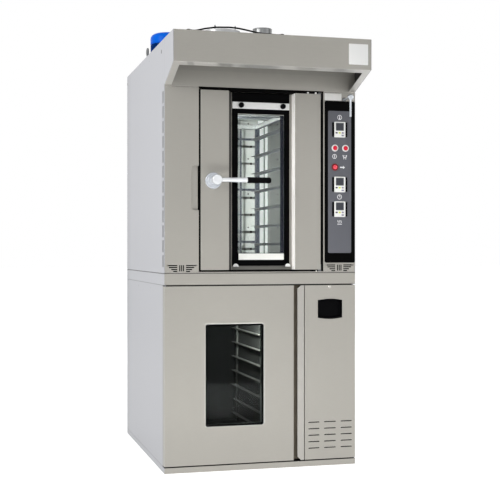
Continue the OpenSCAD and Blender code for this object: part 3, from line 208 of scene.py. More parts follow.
def grain_group():
    """Rolled and brushed sheet: fine streaks along one way, cloudy soiling, and lighter edges, partly rub and partly a
    painted highlight along the folds.

    The streaks are noise squeezed across the brushing; clouds are slow noise; the edge mask is the angle
    between the true normal and the normal rounded over a few millimetres.
    """
    group, gin, gout = new_group(
        "brushed_sheet",
        [
            ("Color", "NodeSocketColor", (0.5, 0.5, 0.5, 1)),
            ("Stretch", "NodeSocketVector", (30, 600, 600)),
            ("Streak", "NodeSocketFloat", 0.06),
            ("Cloud", "NodeSocketFloat", 0.06),
            ("Edge", "NodeSocketFloat", 0.3),
            ("Roughness", "NodeSocketFloat", 0.4),
            ("Depth", "NodeSocketFloat", 0.1),
        ],
        [("Color", "NodeSocketColor"), ("Roughness", "NodeSocketFloat"), ("Normal", "NodeSocketVector")],
    )
    nodes, links = group.nodes, group.links
    coord, squeeze = nodes.new("ShaderNodeTexCoord"), nodes.new("ShaderNodeVectorMath")
    squeeze.operation = "MULTIPLY"
    links.new(coord.outputs["Object"], squeeze.inputs[0])
    links.new(gin.outputs["Stretch"], squeeze.inputs[1])
    streak = noise(nodes, 1.0, 3, 0.6)
    links.new(squeeze.outputs[0], streak.inputs["Vector"])
    cloud = noise(nodes, 2.3, 4, 0.55)
    links.new(coord.outputs["Object"], cloud.inputs["Vector"])
    # Streaks and clouds about 1, as a factor on the colour.
    parts = []
    for source, amount in ((streak, "Streak"), (cloud, "Cloud")):
        centred = maths(nodes, "SUBTRACT", b=0.5)
        links.new(source.outputs["Fac"], centred.inputs[0])
        scaled = maths(nodes, "MULTIPLY")
        links.new(centred.outputs[0], scaled.inputs[0])
        links.new(gin.outputs[amount], scaled.inputs[1])
        parts.append(scaled)
    total = maths(nodes, "ADD")
    links.new(parts[0].outputs[0], total.inputs[0])
    links.new(parts[1].outputs[0], total.inputs[1])
    factor = maths(nodes, "MULTIPLY_ADD", b=2.0)
    factor.inputs[2].default_value = 1.0
    links.new(total.outputs[0], factor.inputs[0])
    tinted = nodes.new("ShaderNodeVectorMath")
    tinted.operation = "SCALE"
    links.new(gin.outputs["Color"], tinted.inputs[0])
    links.new(factor.outputs[0], tinted.inputs["Scale"])
    # Lighter edges: partly rub, partly a painted highlight along the folds.
    bevel, geometry = nodes.new("ShaderNodeBevel"), nodes.new("ShaderNodeNewGeometry")
    bevel.samples = 4
    bevel.inputs["Radius"].default_value = 0.0022
    dot = nodes.new("ShaderNodeVectorMath")
    dot.operation = "DOT_PRODUCT"
    links.new(bevel.outputs[0], dot.inputs[0])
    links.new(geometry.outputs["Normal"], dot.inputs[1])
    edge = nodes.new("ShaderNodeMapRange")
    edge.inputs["From Min"].default_value = 0.995
    edge.inputs["From Max"].default_value = 0.90
    links.new(dot.outputs["Value"], edge.inputs["Value"])
    edge_rub_and_highlight = maths(nodes, "MULTIPLY", clamp=True)
    links.new(edge.outputs[0], edge_rub_and_highlight.inputs[0])
    links.new(gin.outputs["Edge"], edge_rub_and_highlight.inputs[1])
    lighter = blend_colours(nodes)
    lighter.inputs[7].default_value = (0.85, 0.84, 0.81, 1)
    links.new(edge_rub_and_highlight.outputs[0], lighter.inputs[0])
    links.new(tinted.outputs[0], lighter.inputs[6])
    links.new(lighter.outputs[2], gout.inputs["Color"])
    # Roughness follows the streaks and the clouds.
    rough = maths(nodes, "MULTIPLY_ADD", b=1.4)
    links.new(total.outputs[0], rough.inputs[0])
    links.new(gin.outputs["Roughness"], rough.inputs[2])
    links.new(rough.outputs[0], gout.inputs["Roughness"])
    bump = nodes.new("ShaderNodeBump")
    bump.inputs["Distance"].default_value = 0.0002
    links.new(gin.outputs["Depth"], bump.inputs["Strength"])
    links.new(streak.outputs["Fac"], bump.inputs["Height"])
    links.new(bump.outputs[0], gout.inputs["Normal"])
    return group


def moulded_group():
    """Moulded or painted skin: fine pits, slow change of tone, and dust that settles on faces that look up."""
    group, gin, gout = new_group(
        "moulded_skin",
        [
            ("Color", "NodeSocketColor", (0.5, 0.5, 0.5, 1)),
            ("Dust Color", "NodeSocketColor", (0.4, 0.39, 0.37, 1)),
            ("Pits", "NodeSocketFloat", 900.0),
            ("Change", "NodeSocketFloat", 0.1),
            ("Dust", "NodeSocketFloat", 0.1),
            ("Roughness", "NodeSocketFloat", 0.5),
            ("Depth", "NodeSocketFloat", 0.15),
        ],
        [("Color", "NodeSocketColor"), ("Roughness", "NodeSocketFloat"), ("Normal", "NodeSocketVector")],
    )
    nodes, links = group.nodes, group.links
    coord = nodes.new("ShaderNodeTexCoord")
    pits = noise(nodes, 900, 2)
    links.new(coord.outputs["Object"], pits.inputs["Vector"])
    links.new(gin.outputs["Pits"], pits.inputs["Scale"])
    slow = noise(nodes, 14, 3)
    links.new(coord.outputs["Object"], slow.inputs["Vector"])
    centred = maths(nodes, "SUBTRACT", b=0.5)
    links.new(slow.outputs["Fac"], centred.inputs[0])
    swing = maths(nodes, "MULTIPLY")
    links.new(centred.outputs[0], swing.inputs[0])
    links.new(gin.outputs["Change"], swing.inputs[1])
    factor = maths(nodes, "MULTIPLY_ADD", b=2.0)
    factor.inputs[2].default_value = 1.0
    links.new(swing.outputs[0], factor.inputs[0])
    tinted = nodes.new("ShaderNodeVectorMath")
    tinted.operation = "SCALE"
    links.new(gin.outputs["Color"], tinted.inputs[0])
    links.new(factor.outputs[0], tinted.inputs["Scale"])
    geometry, split = nodes.new("ShaderNodeNewGeometry"), nodes.new("ShaderNodeSeparateXYZ")
    links.new(geometry.outputs["Normal"], split.inputs[0])
    up = maths(nodes, "MULTIPLY", clamp=True)
    links.new(split.outputs["Z"], up.inputs[0])
    links.new(gin.outputs["Dust"], up.inputs[1])
    dusty = blend_colours(nodes)
    links.new(up.outputs[0], dusty.inputs[0])
    links.new(tinted.outputs[0], dusty.inputs[6])
    links.new(gin.outputs["Dust Color"], dusty.inputs[7])
    links.new(dusty.outputs[2], gout.inputs["Color"])
    rough = maths(nodes, "MULTIPLY_ADD", b=0.8)
    links.new(swing.outputs[0], rough.inputs[0])
    links.new(gin.outputs["Roughness"], rough.inputs[2])
    links.new(rough.outputs[0], gout.inputs["Roughness"])
    bump = nodes.new("ShaderNodeBump")
    bump.inputs["Distance"].default_value = 0.0003
    links.new(gin.outputs["Depth"], bump.inputs["Strength"])
    links.new(pits.outputs["Fac"], bump.inputs["Height"])
    links.new(bump.outputs[0], gout.inputs["Normal"])
    return group


GRAIN = grain_group()
MOULDED = moulded_group()


def finish_with(name, group, metallic, values, **plain):
    """A material whose colour, roughness and normal come from a group; other sockets hold plain values."""
    mat = bpy.data.materials.new(name)
    mat.use_nodes = True
    nodes, links = mat.node_tree.nodes, mat.node_tree.links
    bsdf = nodes["Principled BSDF"]
    bsdf.inputs["Metallic"].default_value = metallic
    for label, value in plain.items():
        bsdf.inputs[label.replace("_", " ")].default_value = value
    node = nodes.new("ShaderNodeGroup")
    node.node_tree = group
    for label, value in values.items():
        node.inputs[label].default_value = value
    links.new(node.outputs["Color"], bsdf.inputs["Base Color"])
    links.new(node.outputs["Roughness"], bsdf.inputs["Roughness"])
    links.new(node.outputs["Normal"], bsdf.inputs["Normal"])
    return mat


def sheet(name, colour, metallic, roughness, stretch=(30, 600, 600), streak=0.05, cloud=0.05, edge=0.3, depth=0.08,
          **plain):
    """Sheet metal, brushed along the way in which stretch is small."""
    return finish_with(name, GRAIN, metallic, {
        "Color": (*colour, 1), "Stretch": stretch, "Streak": streak, "Cloud": cloud, "Edge": edge,
        "Roughness": roughness, "Depth": depth,
    }, **plain)


def moulded(name, colour, roughness, pits=900.0, change=0.1, dust=0.1, depth=0.15, metallic=0.0, **plain):
    """Plastic, rubber or paint."""
    return finish_with(name, MOULDED, metallic, {
        "Color": (*colour, 1), "Pits": pits, "Change": change, "Dust": dust, "Roughness": roughness, "Depth": depth,
    }, **plain)


def scribe(mat, lines):
    """Fine lines drawn on a sheet, seams as well as painted highlights and painted shadows: each (axis, place, half
    width, factor) scales the colour along one plane.
    """
    nodes, links = mat.node_tree.nodes, mat.node_tree.links
    target = nodes["Principled BSDF"].inputs["Base Color"]
    source = target.links[0].from_socket
    coord, split = nodes.new("ShaderNodeTexCoord"), nodes.new("ShaderNodeSeparateXYZ")
    links.new(coord.outputs["Object"], split.inputs[0])
    for axis, place, half, factor in lines:
        near = maths(nodes, "COMPARE", b=place)
        near.inputs[2].default_value = half
        links.new(split.outputs[axis], near.inputs[0])
        amount = maths(nodes, "MULTIPLY_ADD", b=factor - 1)
        amount.inputs[2].default_value = 1.0
        links.new(near.outputs[0], amount.inputs[0])
        scaled = nodes.new("ShaderNodeVectorMath")
        scaled.operation = "SCALE"
        links.new(source, scaled.inputs[0])
        links.new(amount.outputs[0], scaled.inputs["Scale"])
        source = scaled.outputs[0]
    links.new(source, target)
    return mat


def fade(mat, near, far, factor, axis=2):
    """A slow painted change of light along one axis: the colour is scaled by factor at near and by 1 from far on."""
    nodes, links = mat.node_tree.nodes, mat.node_tree.links
    target = nodes["Principled BSDF"].inputs["Base Color"]
    source = target.links[0].from_socket
    coord, split = nodes.new("ShaderNodeTexCoord"), nodes.new("ShaderNodeSeparateXYZ")
    links.new(coord.outputs["Object"], split.inputs[0])
    level, scaled = nodes.new("ShaderNodeMapRange"), nodes.new("ShaderNodeVectorMath")
    for label, value in (("From Min", near), ("From Max", far), ("To Min", factor), ("To Max", 1.0)):
        level.inputs[label].default_value = value
    links.new(split.outputs[axis], level.inputs["Value"])
    scaled.operation = "SCALE"
    links.new(source, scaled.inputs[0])
    links.new(level.outputs[0], scaled.inputs["Scale"])
    links.new(scaled.outputs[0], target)


def bands(mat, places, slant=1.2):
    """Painted soft slanted reflections across a lip: each (centre, half width, factor) scales the colour along X."""
    nodes, links = mat.node_tree.nodes, mat.node_tree.links
    target = nodes["Principled BSDF"].inputs["Base Color"]
    source = target.links[0].from_socket
    coord, lean = nodes.new("ShaderNodeTexCoord"), nodes.new("ShaderNodeVectorMath")
    lean.operation = "DOT_PRODUCT"
    lean.inputs[1].default_value = (1, 0, slant)
    links.new(coord.outputs["Object"], lean.inputs[0])
    for centre, half, factor in places:
        away = maths(nodes, "SUBTRACT", b=centre + slant * 1.97)
        apart = maths(nodes, "ABSOLUTE")
        level, scaled = nodes.new("ShaderNodeMapRange"), nodes.new("ShaderNodeVectorMath")
        level.interpolation_type = "SMOOTHSTEP"
        for label, value in (("From Min", half * 0.5), ("From Max", half * 1.5), ("To Min", factor), ("To Max", 1.0)):
            level.inputs[label].default_value = value
        links.new(lean.outputs["Value"], away.inputs[0])
        links.new(away.outputs[0], apart.inputs[0])
        links.new(apart.outputs[0], level.inputs["Value"])
        scaled.operation = "SCALE"
        links.new(source, scaled.inputs[0])
        links.new(level.outputs[0], scaled.inputs["Scale"])
        source = scaled.outputs[0]
    links.new(source, target)


def dots(mat, places):
    """Dark countersunk screws that lie flush in a side sheet: discs in Y and Z, each (y, z, radius)."""
    nodes, links = mat.node_tree.nodes, mat.node_tree.links
    target = nodes["Principled BSDF"].inputs["Base Color"]
    source = target.links[0].from_socket
    coord, flat = nodes.new("ShaderNodeTexCoord"), nodes.new("ShaderNodeVectorMath")
    flat.operation = "MULTIPLY"
    flat.inputs[1].default_value = (0, 1, 1)
    links.new(coord.outputs["Object"], flat.inputs[0])
    for y, z, radius in places:
        reach = nodes.new("ShaderNodeVectorMath")
        reach.operation = "DISTANCE"
        reach.inputs[1].default_value = (0, y, z)
        links.new(flat.outputs[0], reach.inputs[0])
        level, scaled = nodes.new("ShaderNodeMapRange"), nodes.new("ShaderNodeVectorMath")
        for label, value in (("From Min", radius - 0.0008), ("From Max", radius), ("To Min", 0.10), ("To Max", 1.0)):
            level.inputs[label].default_value = value
        links.new(reach.outputs["Value"], level.inputs["Value"])
        scaled.operation = "SCALE"
        links.new(source, scaled.inputs[0])
        links.new(level.outputs[0], scaled.inputs["Scale"])
        source = scaled.outputs[0]
    links.new(source, target)


def clear_pane(name, tint, smears=0.02):
    """Clear or tinted glass with faint smears in its roughness."""
    mat = bpy.data.materials.new(name)
    mat.use_nodes = True
    nodes, links = mat.node_tree.nodes, mat.node_tree.links
    bsdf = nodes["Principled BSDF"]
    bsdf.inputs["Base Color"].default_value = (*tint, 1)
    bsdf.inputs["Transmission Weight"].default_value = 1
    bsdf.inputs["IOR"].default_value = 1.12
    coord = nodes.new("ShaderNodeTexCoord")
    smear = noise(nodes, 9, 4)
    links.new(coord.outputs["Object"], smear.inputs["Vector"])
    level = nodes.new("ShaderNodeMapRange")
    level.inputs["From Min"].default_value = 0.5
    level.inputs["From Max"].default_value = 0.75
    level.inputs["To Max"].default_value = smears
    links.new(smear.outputs["Fac"], level.inputs["Value"])
    links.new(level.outputs[0], bsdf.inputs["Roughness"])
    return mat


UPRIGHT = (600, 600, 30)
DULL = {"Specular_IOR_Level": 0.03}
MATS = {
    "front_steel": sheet("front_steel", (0.372, 0.357, 0.322), 0.25, 0.42),
    "side_steel": sheet("side_steel", (0.500, 0.505, 0.535), 0.15, 0.38, streak=0.02, cloud=0.03, edge=0.2),
    "liner_steel": sheet("liner_steel", (0.44, 0.455, 0.44), 0.5, 0.32, UPRIGHT, 0.16, 0.22, 0.2),
    "bright_steel": sheet("bright_steel", (0.62, 0.65, 0.69), 0.55, 0.22, streak=0.02, cloud=0.03, edge=0.1, depth=0.02),
    # The rack's near-black tone is painted shade inside the chamber.
    "rack_steel": sheet("rack_steel", (0.045, 0.052, 0.066), 0.15, 0.45, UPRIGHT, 0.12, 0.2, 0.35),
    "element_steel": sheet("element_steel", (0.10, 0.09, 0.085), 0.7, 0.6, streak=0.1, cloud=0.3, edge=0.2),
    "bronze": sheet("bronze", (0.45, 0.30, 0.12), 0.9, 0.35),
    "black_plastic": moulded("black_plastic", (0.0025, 0.0025, 0.003), 0.40, dust=0.02, **DULL),
    "panel_plastic": moulded("panel_plastic", (0.001, 0.001, 0.001), 0.35, dust=0.01, depth=0.05, **DULL),
    "white_plastic": moulded("white_plastic", (0.93, 0.93, 0.90), 0.35, dust=0.05, change=0.02, Specular_IOR_Level=0.3),
    "red_plastic": moulded("red_plastic", (0.72, 0.015, 0.045), 0.25, dust=0.02, depth=0.04, Specular_IOR_Level=0.3),
    "rubber": moulded("rubber", (0.002, 0.002, 0.002), 0.6, pits=500.0, dust=0.02, depth=0.3, **DULL),
    "wool": moulded("wool", (0.60, 0.52, 0.30), 0.9, pits=220.0, change=0.4, depth=0.9),
    "motor_paint": moulded("motor_paint", (0.0, 0.145, 0.82), 0.30, change=0.2, dust=0.0, depth=0.08,
                           Specular_IOR_Level=0.06),
    "grey_paint": moulded("grey_paint", (0.16, 0.165, 0.17), 0.45, pits=600.0),
    "white_paint": moulded("white_paint", (0.92, 0.92, 0.90), 0.40, change=0.02, dust=0.05, Specular_IOR_Level=0.3),
    "dark_glass": clear_pane("dark_glass", (0.36, 0.39, 0.38)),
    "clear_glass": clear_pane("clear_glass", (0.94, 0.97, 0.96)),
}
OVEN_GLASS = clear_pane("oven_glass", (0.955, 0.965, 0.96))
# The latch dish: the front steel a little lighter, painted light in the dish.
DISH_LIT = sheet("dish_painted_light", (0.43, 0.415, 0.375), 0.25, 0.40)
RECESS = sheet("recess_steel", (0.36, 0.347, 0.315), 0.25, 0.45)
# The jamb sheet: near white with a weak glow, painted light on the stile's inner wall and on the hinge screws.
GLOWING_JAMB = sheet("jamb_painted_glow", (0.97, 0.96, 0.92), 0.0, 0.35, edge=0.0, Emission_Color=(1, 0.98, 0.94, 1),
             Emission_Strength=0.26)
# The proofer door's lip strip: the front steel made lighter, painted light on the angled strip.
LIP_STRIP_LIT = sheet("lip_strip_painted_light", (0.41, 0.395, 0.365), 0.25, 0.38)
# Near-black liner for the chamber's ceiling and the middle of the rack's top: painted shade.
CEILING_SHADE = sheet("ceiling_painted_shade", (0.085, 0.095, 0.105), 0.3, 0.4, cloud=0.5)
BACK_WALL = sheet("back_wall", (0.70, 0.72, 0.685), 0.3, 0.35, UPRIGHT, 0.16, 0.3, 0.2)
# A darker liner for the chamber's right wall: painted shade.
RIGHT_WALL_SHADE = sheet("right_wall_painted_shade", (0.26, 0.28, 0.27), 0.4, 0.35, UPRIGHT, 0.3, 0.3, 0.2)
SHADED = sheet("shaded_liner", (0.028, 0.030, 0.029), 0.1, 0.6, UPRIGHT, 0.16, 0.3, 0.1, **DULL)
# A darker liner for the proofer's right wall, darker still towards the floor: painted shade.
PROOF_WALL_SHADE = sheet("proofer_wall_painted_shade", (0.17, 0.175, 0.165), 0.2, 0.5, UPRIGHT, 0.16, 0.3, 0.1)
# Near-black runners inside the oven: painted shade of the chamber.
RUNNER_SHADE = sheet("runner_painted_shade", (0.055, 0.06, 0.065), 0.2, 0.45, cloud=0.3, edge=0.2)
# Pale runners in the proofer, bright at the top and darkened lower down: painted light and shade.
PROOF_RUNNER_SHADED = sheet("proofer_runner", (0.80, 0.80, 0.74), 0.3, 0.35, cloud=0.2, edge=0.2)
# Near-black steel for the frame behind the proofer doors: painted shade in the gaps.
FRAME_SHADE = sheet("frame_painted_shade", (0.075, 0.073, 0.068), 0.3, 0.45)
# A bright copy of the rack steel for the rack's top side bars: painted light.
RACK_TOP_LIT = sheet("rack_top_painted_light", (0.62, 0.64, 0.62), 0.5, 0.25, streak=0.05, cloud=0.2, edge=0.3)
BAFFLE = sheet("slot_baffle", (0.36, 0.365, 0.38), 0.1, 0.5)
ENAMEL = moulded("black_enamel", (0.0008, 0.0008, 0.001), 0.15, dust=0.0, change=0.05, depth=0.0, **DULL)
NAVY = moulded("navy_enamel", (0.020, 0.023, 0.034), 0.2, dust=0.0, change=0.1, depth=0.0, **DULL)
CREAM = moulded("cream_strip", (0.93, 0.93, 0.88), 0.5, dust=0.0, change=0.03, depth=0.02)
FILM = moulded("panel_film", (0.143, 0.146, 0.163), 0.45, change=0.04, dust=0.03, **DULL)
DISPLAY = moulded("display_glass", (0.070, 0.073, 0.085), 0.15, change=0.1, dust=0.0, depth=0.0, **DULL)
PRINT = moulded("white_print", (0.96, 0.96, 0.97), 0.5, change=0.02, dust=0.0, depth=0.0)
KEYS = {
    "dark": moulded("key_dark", (0.03, 0.03, 0.06), 0.5, dust=0.0),
    "green": moulded("key_green", (0.66, 0.72, 0.08), 0.5, dust=0.0),
    "violet": moulded("key_violet", (0.26, 0.24, 0.33), 0.5, dust=0.0),
}
LENS_RED = moulded("lens_red", (0.90, 0.065, 0.10), 0.18, dust=0.0, depth=0.0)
RIM_RED = moulded("rim_red", (0.22, 0.008, 0.012), 0.3, dust=0.02, Specular_IOR_Level=0.3)
CHROME = sheet("chrome", (0.72, 0.70, 0.66), 0.8, 0.12, streak=0.0, cloud=0.03, edge=0.0, depth=0.0)
LABEL = moulded("bare_label", (0.86, 0.85, 0.82), 0.45, change=0.05, dust=0.03)
COLLAR_WHITE = sheet("collar_steel", (0.93, 0.92, 0.90), 0.1, 0.25, streak=0.0, cloud=0.02, edge=0.0, depth=0.0)
LEVER = sheet("lever_steel", (0.82, 0.84, 0.86), 0.4, 0.2, streak=0.02, cloud=0.03, edge=0.1, depth=0.02)
TRIM = sheet("window_trim", (0.58, 0.575, 0.54), 0.5, 0.25, streak=0.02, cloud=0.02, edge=0.2)
# Cover strips on the duct panel: near white with a glow, painted light inside the chamber.
GLOWING_COVER = sheet("cover_painted_glow", (0.97, 0.98, 0.96), 0.0, 0.2, UPRIGHT, 0.04, 0.05, 0.1, Emission_Color=(0.97, 1, 0.98, 1),
                 Emission_Strength=0.5)
DARK_SCREW = moulded("dark_screw", (0.03, 0.03, 0.032), 0.4, dust=0.0, Specular_IOR_Level=0.2)
DUCT = sheet("duct_sheet", (0.54, 0.545, 0.545), 0.35, 0.34, (60, 60, 8), 0.14, 0.08, 0.4)
# The flue: dark steel with strong upright streaks, painted reflections on a shiny pipe.
FLUE_SHEEN = sheet("flue_painted_reflections", (0.24, 0.245, 0.245), 0.5, 0.28, (75, 75, 2), 0.75, 0.05, 0.5)
CHANNEL = moulded("channel_shadow", (0.17, 0.15, 0.115), 0.6, change=0.2, dust=0.02, **DULL)
# Near-black steel for the inner faces of the hood's cheeks: painted shade under the hood.
HOOD_INSIDE_SHADE = sheet("hood_inside_painted_shade", (0.035, 0.033, 0.030), 0.2, 0.5, streak=0.1, cloud=0.3)
# The hood's lip: a lighter copy of the steel, a painted sheen with painted slanted reflections.
LIP_SHEEN = sheet("hood_lip_painted_sheen", (0.66, 0.645, 0.61), 0.35, 0.32, streak=0.02, cloud=0.1, edge=0.2, depth=0.0)
# The motor's fins: a darker copy of the motor paint, painted shade.
FINS_SHADE = moulded("fin_painted_shade", (0.0, 0.04, 0.22), 0.35, dust=0.0, depth=0.08, **DULL)
scribe(MATS["side_steel"], [(1, -0.4995, 0.0011, 0.72), (1, -0.4470, 0.0011, 0.85), (2, 0.9880, 0.0026, 0.14),
                            (2, 0.9300, 0.0016, 0.5), (2, 0.0296, 0.0014, 0.45)])
# Front sheet lines: a painted highlight over a painted shadow at the header's fold, painted shade along the gaps at z
# 0.989, 0.931 and 0.029, and a band of painted light on the header under the hood.
scribe(MATS["front_steel"], [(2, 1.9184, 0.0013, 1.28), (2, 1.9160, 0.0011, 0.72), (2, 0.9890, 0.0020, 0.16), (2, 0.9308, 0.0013, 0.1), (2, 0.0292, 0.0013, 0.12), (2, 1.9600, 0.0370, 1.07)])
# On the window's recess plate: a painted shadow along the stile's edge and a lighter line at the glass's edge.
scribe(RECESS, [(0, -0.1530, 0.0048, 0.12), (0, -0.1447, 0.0014, 1.9)])
# Painted shade: the side sheets darker towards the floor and towards the back.
fade(MATS["side_steel"], 0.0, 1.3, 0.74)
fade(MATS["side_steel"], 0.72, 0.55, 0.88, axis=1)
# Painted shade: the duct panel darker towards the right wall, and a darker upright band at x 0.118.
fade(BACK_WALL, 0.330, 0.225, 0.28, axis=0)
scribe(BACK_WALL, [(0, 0.1180, 0.0250, 0.5)])
# Painted shade: the proofer's runners and right wall darker towards the floor.
fade(PROOF_RUNNER_SHADED, 0.22, 0.66, 0.12)
fade(PROOF_WALL_SHADE, 0.30, 0.75, 0.15)
bands(LIP_SHEEN, [(0.490, 0.035, 0.82), (-0.386, 0.016, 0.72), (-0.215, 0.036, 0.6), (-0.05, 0.095, 0.66), (0.19, 0.05, 0.75), (0.40, 0.06, 0.7)])
dots(MATS["side_steel"], [(-0.418, 2.097, 0.0110), (0.712, 2.103, 0.0100), (-0.478, 1.510, 0.003), (-0.06, 2.110, 0.003)] + [
    (y, z, 0.003) for y in (-0.47, -0.1, 0.3, 0.7) for z in (0.905, 0.052)] + [
    (0.7, z, 0.003) for z in (1.03, 1.4, 1.77, 2.12)])

# ---------------------------------------------------------------- shapes


def loft(rings, ends=True, loop=False):
    """Quads between neighbouring rings of points, each ring closed on itself.

    The first and last rings are filled, or joined to each other where loop is set.
    """
    rings = np.asarray(rings, float)
    m, n = rings.shape[:2]
    i, k = np.meshgrid(np.arange(m if loop else m - 1), np.arange(n), indexing="ij")
    low, high = i * n, (i + 1) % m * n
    step = (k + 1) % n
    faces = np.stack([low + k, low + step, high + step, high + k], -1).reshape(-1, 4).tolist()
    if ends and not loop:
        faces += [list(range(n))[::-1], list(range((m - 1) * n, m * n))]
    return rings.reshape(-1, 3), faces


def join(shapes):
    """Several shapes as one list of corners and faces."""
    corners, faces, base = [], [], 0
    for points, polygons in shapes:
        corners.append(points)
        faces += [[v + base for v in p] for p in polygons]
        base += len(points)
    return np.concatenate(corners), faces


def turned(centre, way, profile, n=40, wobble=None):
    """A turned shape. profile holds (distance along the way, radius); wobble scales the radius by the angle.

    A point is centre + distance * way + radius * (cos(angle) * side + sin(angle) * other side).
    """
    way = np.array(way, float)
    way /= np.linalg.norm(way)
    side = np.cross(way, [0, 0, 1] if abs(way[2]) < 0.9 else [1, 0, 0])
    side /= np.linalg.norm(side)
    other = np.cross(way, side)
    angle = np.linspace(0, 2 * math.pi, n, endpoint=False)
    circle = np.cos(angle)[:, None] * side + np.sin(angle)[:, None] * other
    if wobble is not None:
        circle = circle * wobble(angle)[:, None]
    profile = np.asarray(profile, float)
    return np.asarray(centre, float) + profile[:, 0, None, None] * way + profile[:, 1, None, None] * circle


def arc(centre, radii, start, end, n=5):
    """Points (distance, radius) on a quarter or other arc, from start to end degrees."""
    a = np.radians(np.linspace(start, end, n))
    return [(centre[0] + radii[0] * math.cos(t), centre[1] + radii[1] * math.sin(t)) for t in a]


def round_outline(x0, x1, z0, z1, r, n=6):
    """A rectangle's outline with round corners, counter-clockwise in X and Z."""
    out = []
    for cx, cz, start in ((x1 - r, z1 - r, 0), (x0 + r, z1 - r, 90), (x0 + r, z0 + r, 180), (x1 - r, z0 + r, 270)):
        a = np.radians(np.linspace(start, start + 90, n))
        out.append(np.stack([cx + r * np.cos(a), cz + r * np.sin(a)], -1))
    return np.concatenate(out)


def at_depth(outline, y):
    """An outline in X and Z set at one Y."""
    return np.stack([outline[:, 0], np.full(len(outline), y), outline[:, 1]], -1)


def plate(x0, x1, z0, z1, y0, y1, r, edge=0.6):
    """A plate with round corners whose front edge is rounded: rings that draw in as sin and come forward as cos."""
    steps = np.radians([0, 30, 60, 90])
    rings = [at_depth(round_outline(x0, x1, z0, z1, r), y1)]
    for a in steps:
        inset = edge * (1 - math.cos(a))
        ring = round_outline(x0 + inset, x1 - inset, z0 + inset, z1 - inset, max(r - inset, 0.05))
        rings.append(at_depth(ring, y0 + edge * (1 - math.sin(a))))
    return loft(rings)


def window_ring(outer, inner, y0, y1, lift=0.0):
    """A flat ring between two outlines; lift raises its inner edge towards the front."""
    return loft([at_depth(outer, y1), at_depth(outer, y0), at_depth(inner, y0 - lift), at_depth(inner, y1)], loop=True)


def sheet_strip(x0, x1, y0, y1, z0, z1):
    """A thin square-edged strip."""
    ring = np.array([[x0, y0], [x1, y0], [x1, y1], [x0, y1]], float)
    return loft([np.column_stack([ring, np.full(4, z)]) for z in (z0, z1)])


def swept(path, radius, n=12):
    """A round tube along a path of points; each ring stands square to the path's own direction."""
    path = np.asarray(path, float)
    way = np.gradient(path, axis=0)
    way /= np.linalg.norm(way, axis=1)[:, None]
    flat = np.array([0.0, 1.0, 0.0])
    side = flat - (way @ flat)[:, None] * way
    side /= np.linalg.norm(side, axis=1)[:, None]
    other = np.cross(way, side)
    a = np.linspace(0, 2 * math.pi, n, endpoint=False)
    ring = np.cos(a)[None, :, None] * side[:, None, :] + np.sin(a)[None, :, None] * other[:, None, :]
    return loft(path[:, None, :] + radius * ring)


def piece(name, shape, body, slot, mat=None, stands_for=(), smooth=35):
    """A named mesh from corners in millimetres that rides on a body and takes a record slot's finish."""
    corners, faces = shape
    mesh = bpy.data.meshes.new(name)
    mesh.from_pydata((np.asarray(corners) * MM).tolist(), [], faces)
    bm = bmesh.new()
    bm.from_mesh(mesh)
    bmesh.ops.remove_doubles(bm, verts=bm.verts, dist=1e-6)
    bmesh.ops.recalc_face_normals(bm, faces=bm.faces)
    bm.to_mesh(mesh)
    bm.free()
    mesh.shade_smooth()
    mesh.set_sharp_from_angle(angle=math.radians(smooth))
    mesh.materials.append(mat or MATS[slot])
    obj = bpy.data.objects.new(name, mesh)
    bpy.context.collection.objects.link(obj)
    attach(obj, body)
    if stands_for:
        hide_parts(*stands_for)
    return obj


def face_width(face, edge):
    """How far a face reaches from one of its edges: the greatest distance of its corners from the edge's line."""
    start = edge.verts[0].co
    way = (edge.verts[1].co - start).normalized()
    return max(((v.co - start) - (v.co - start).dot(way) * way).length for v in face.verts)


# Pieces with a face round a hole, which is cut into convex parts before its edges are rounded.
RINGED = ("latch_keeper", "proofer_door_liner", "oven_front_frame")


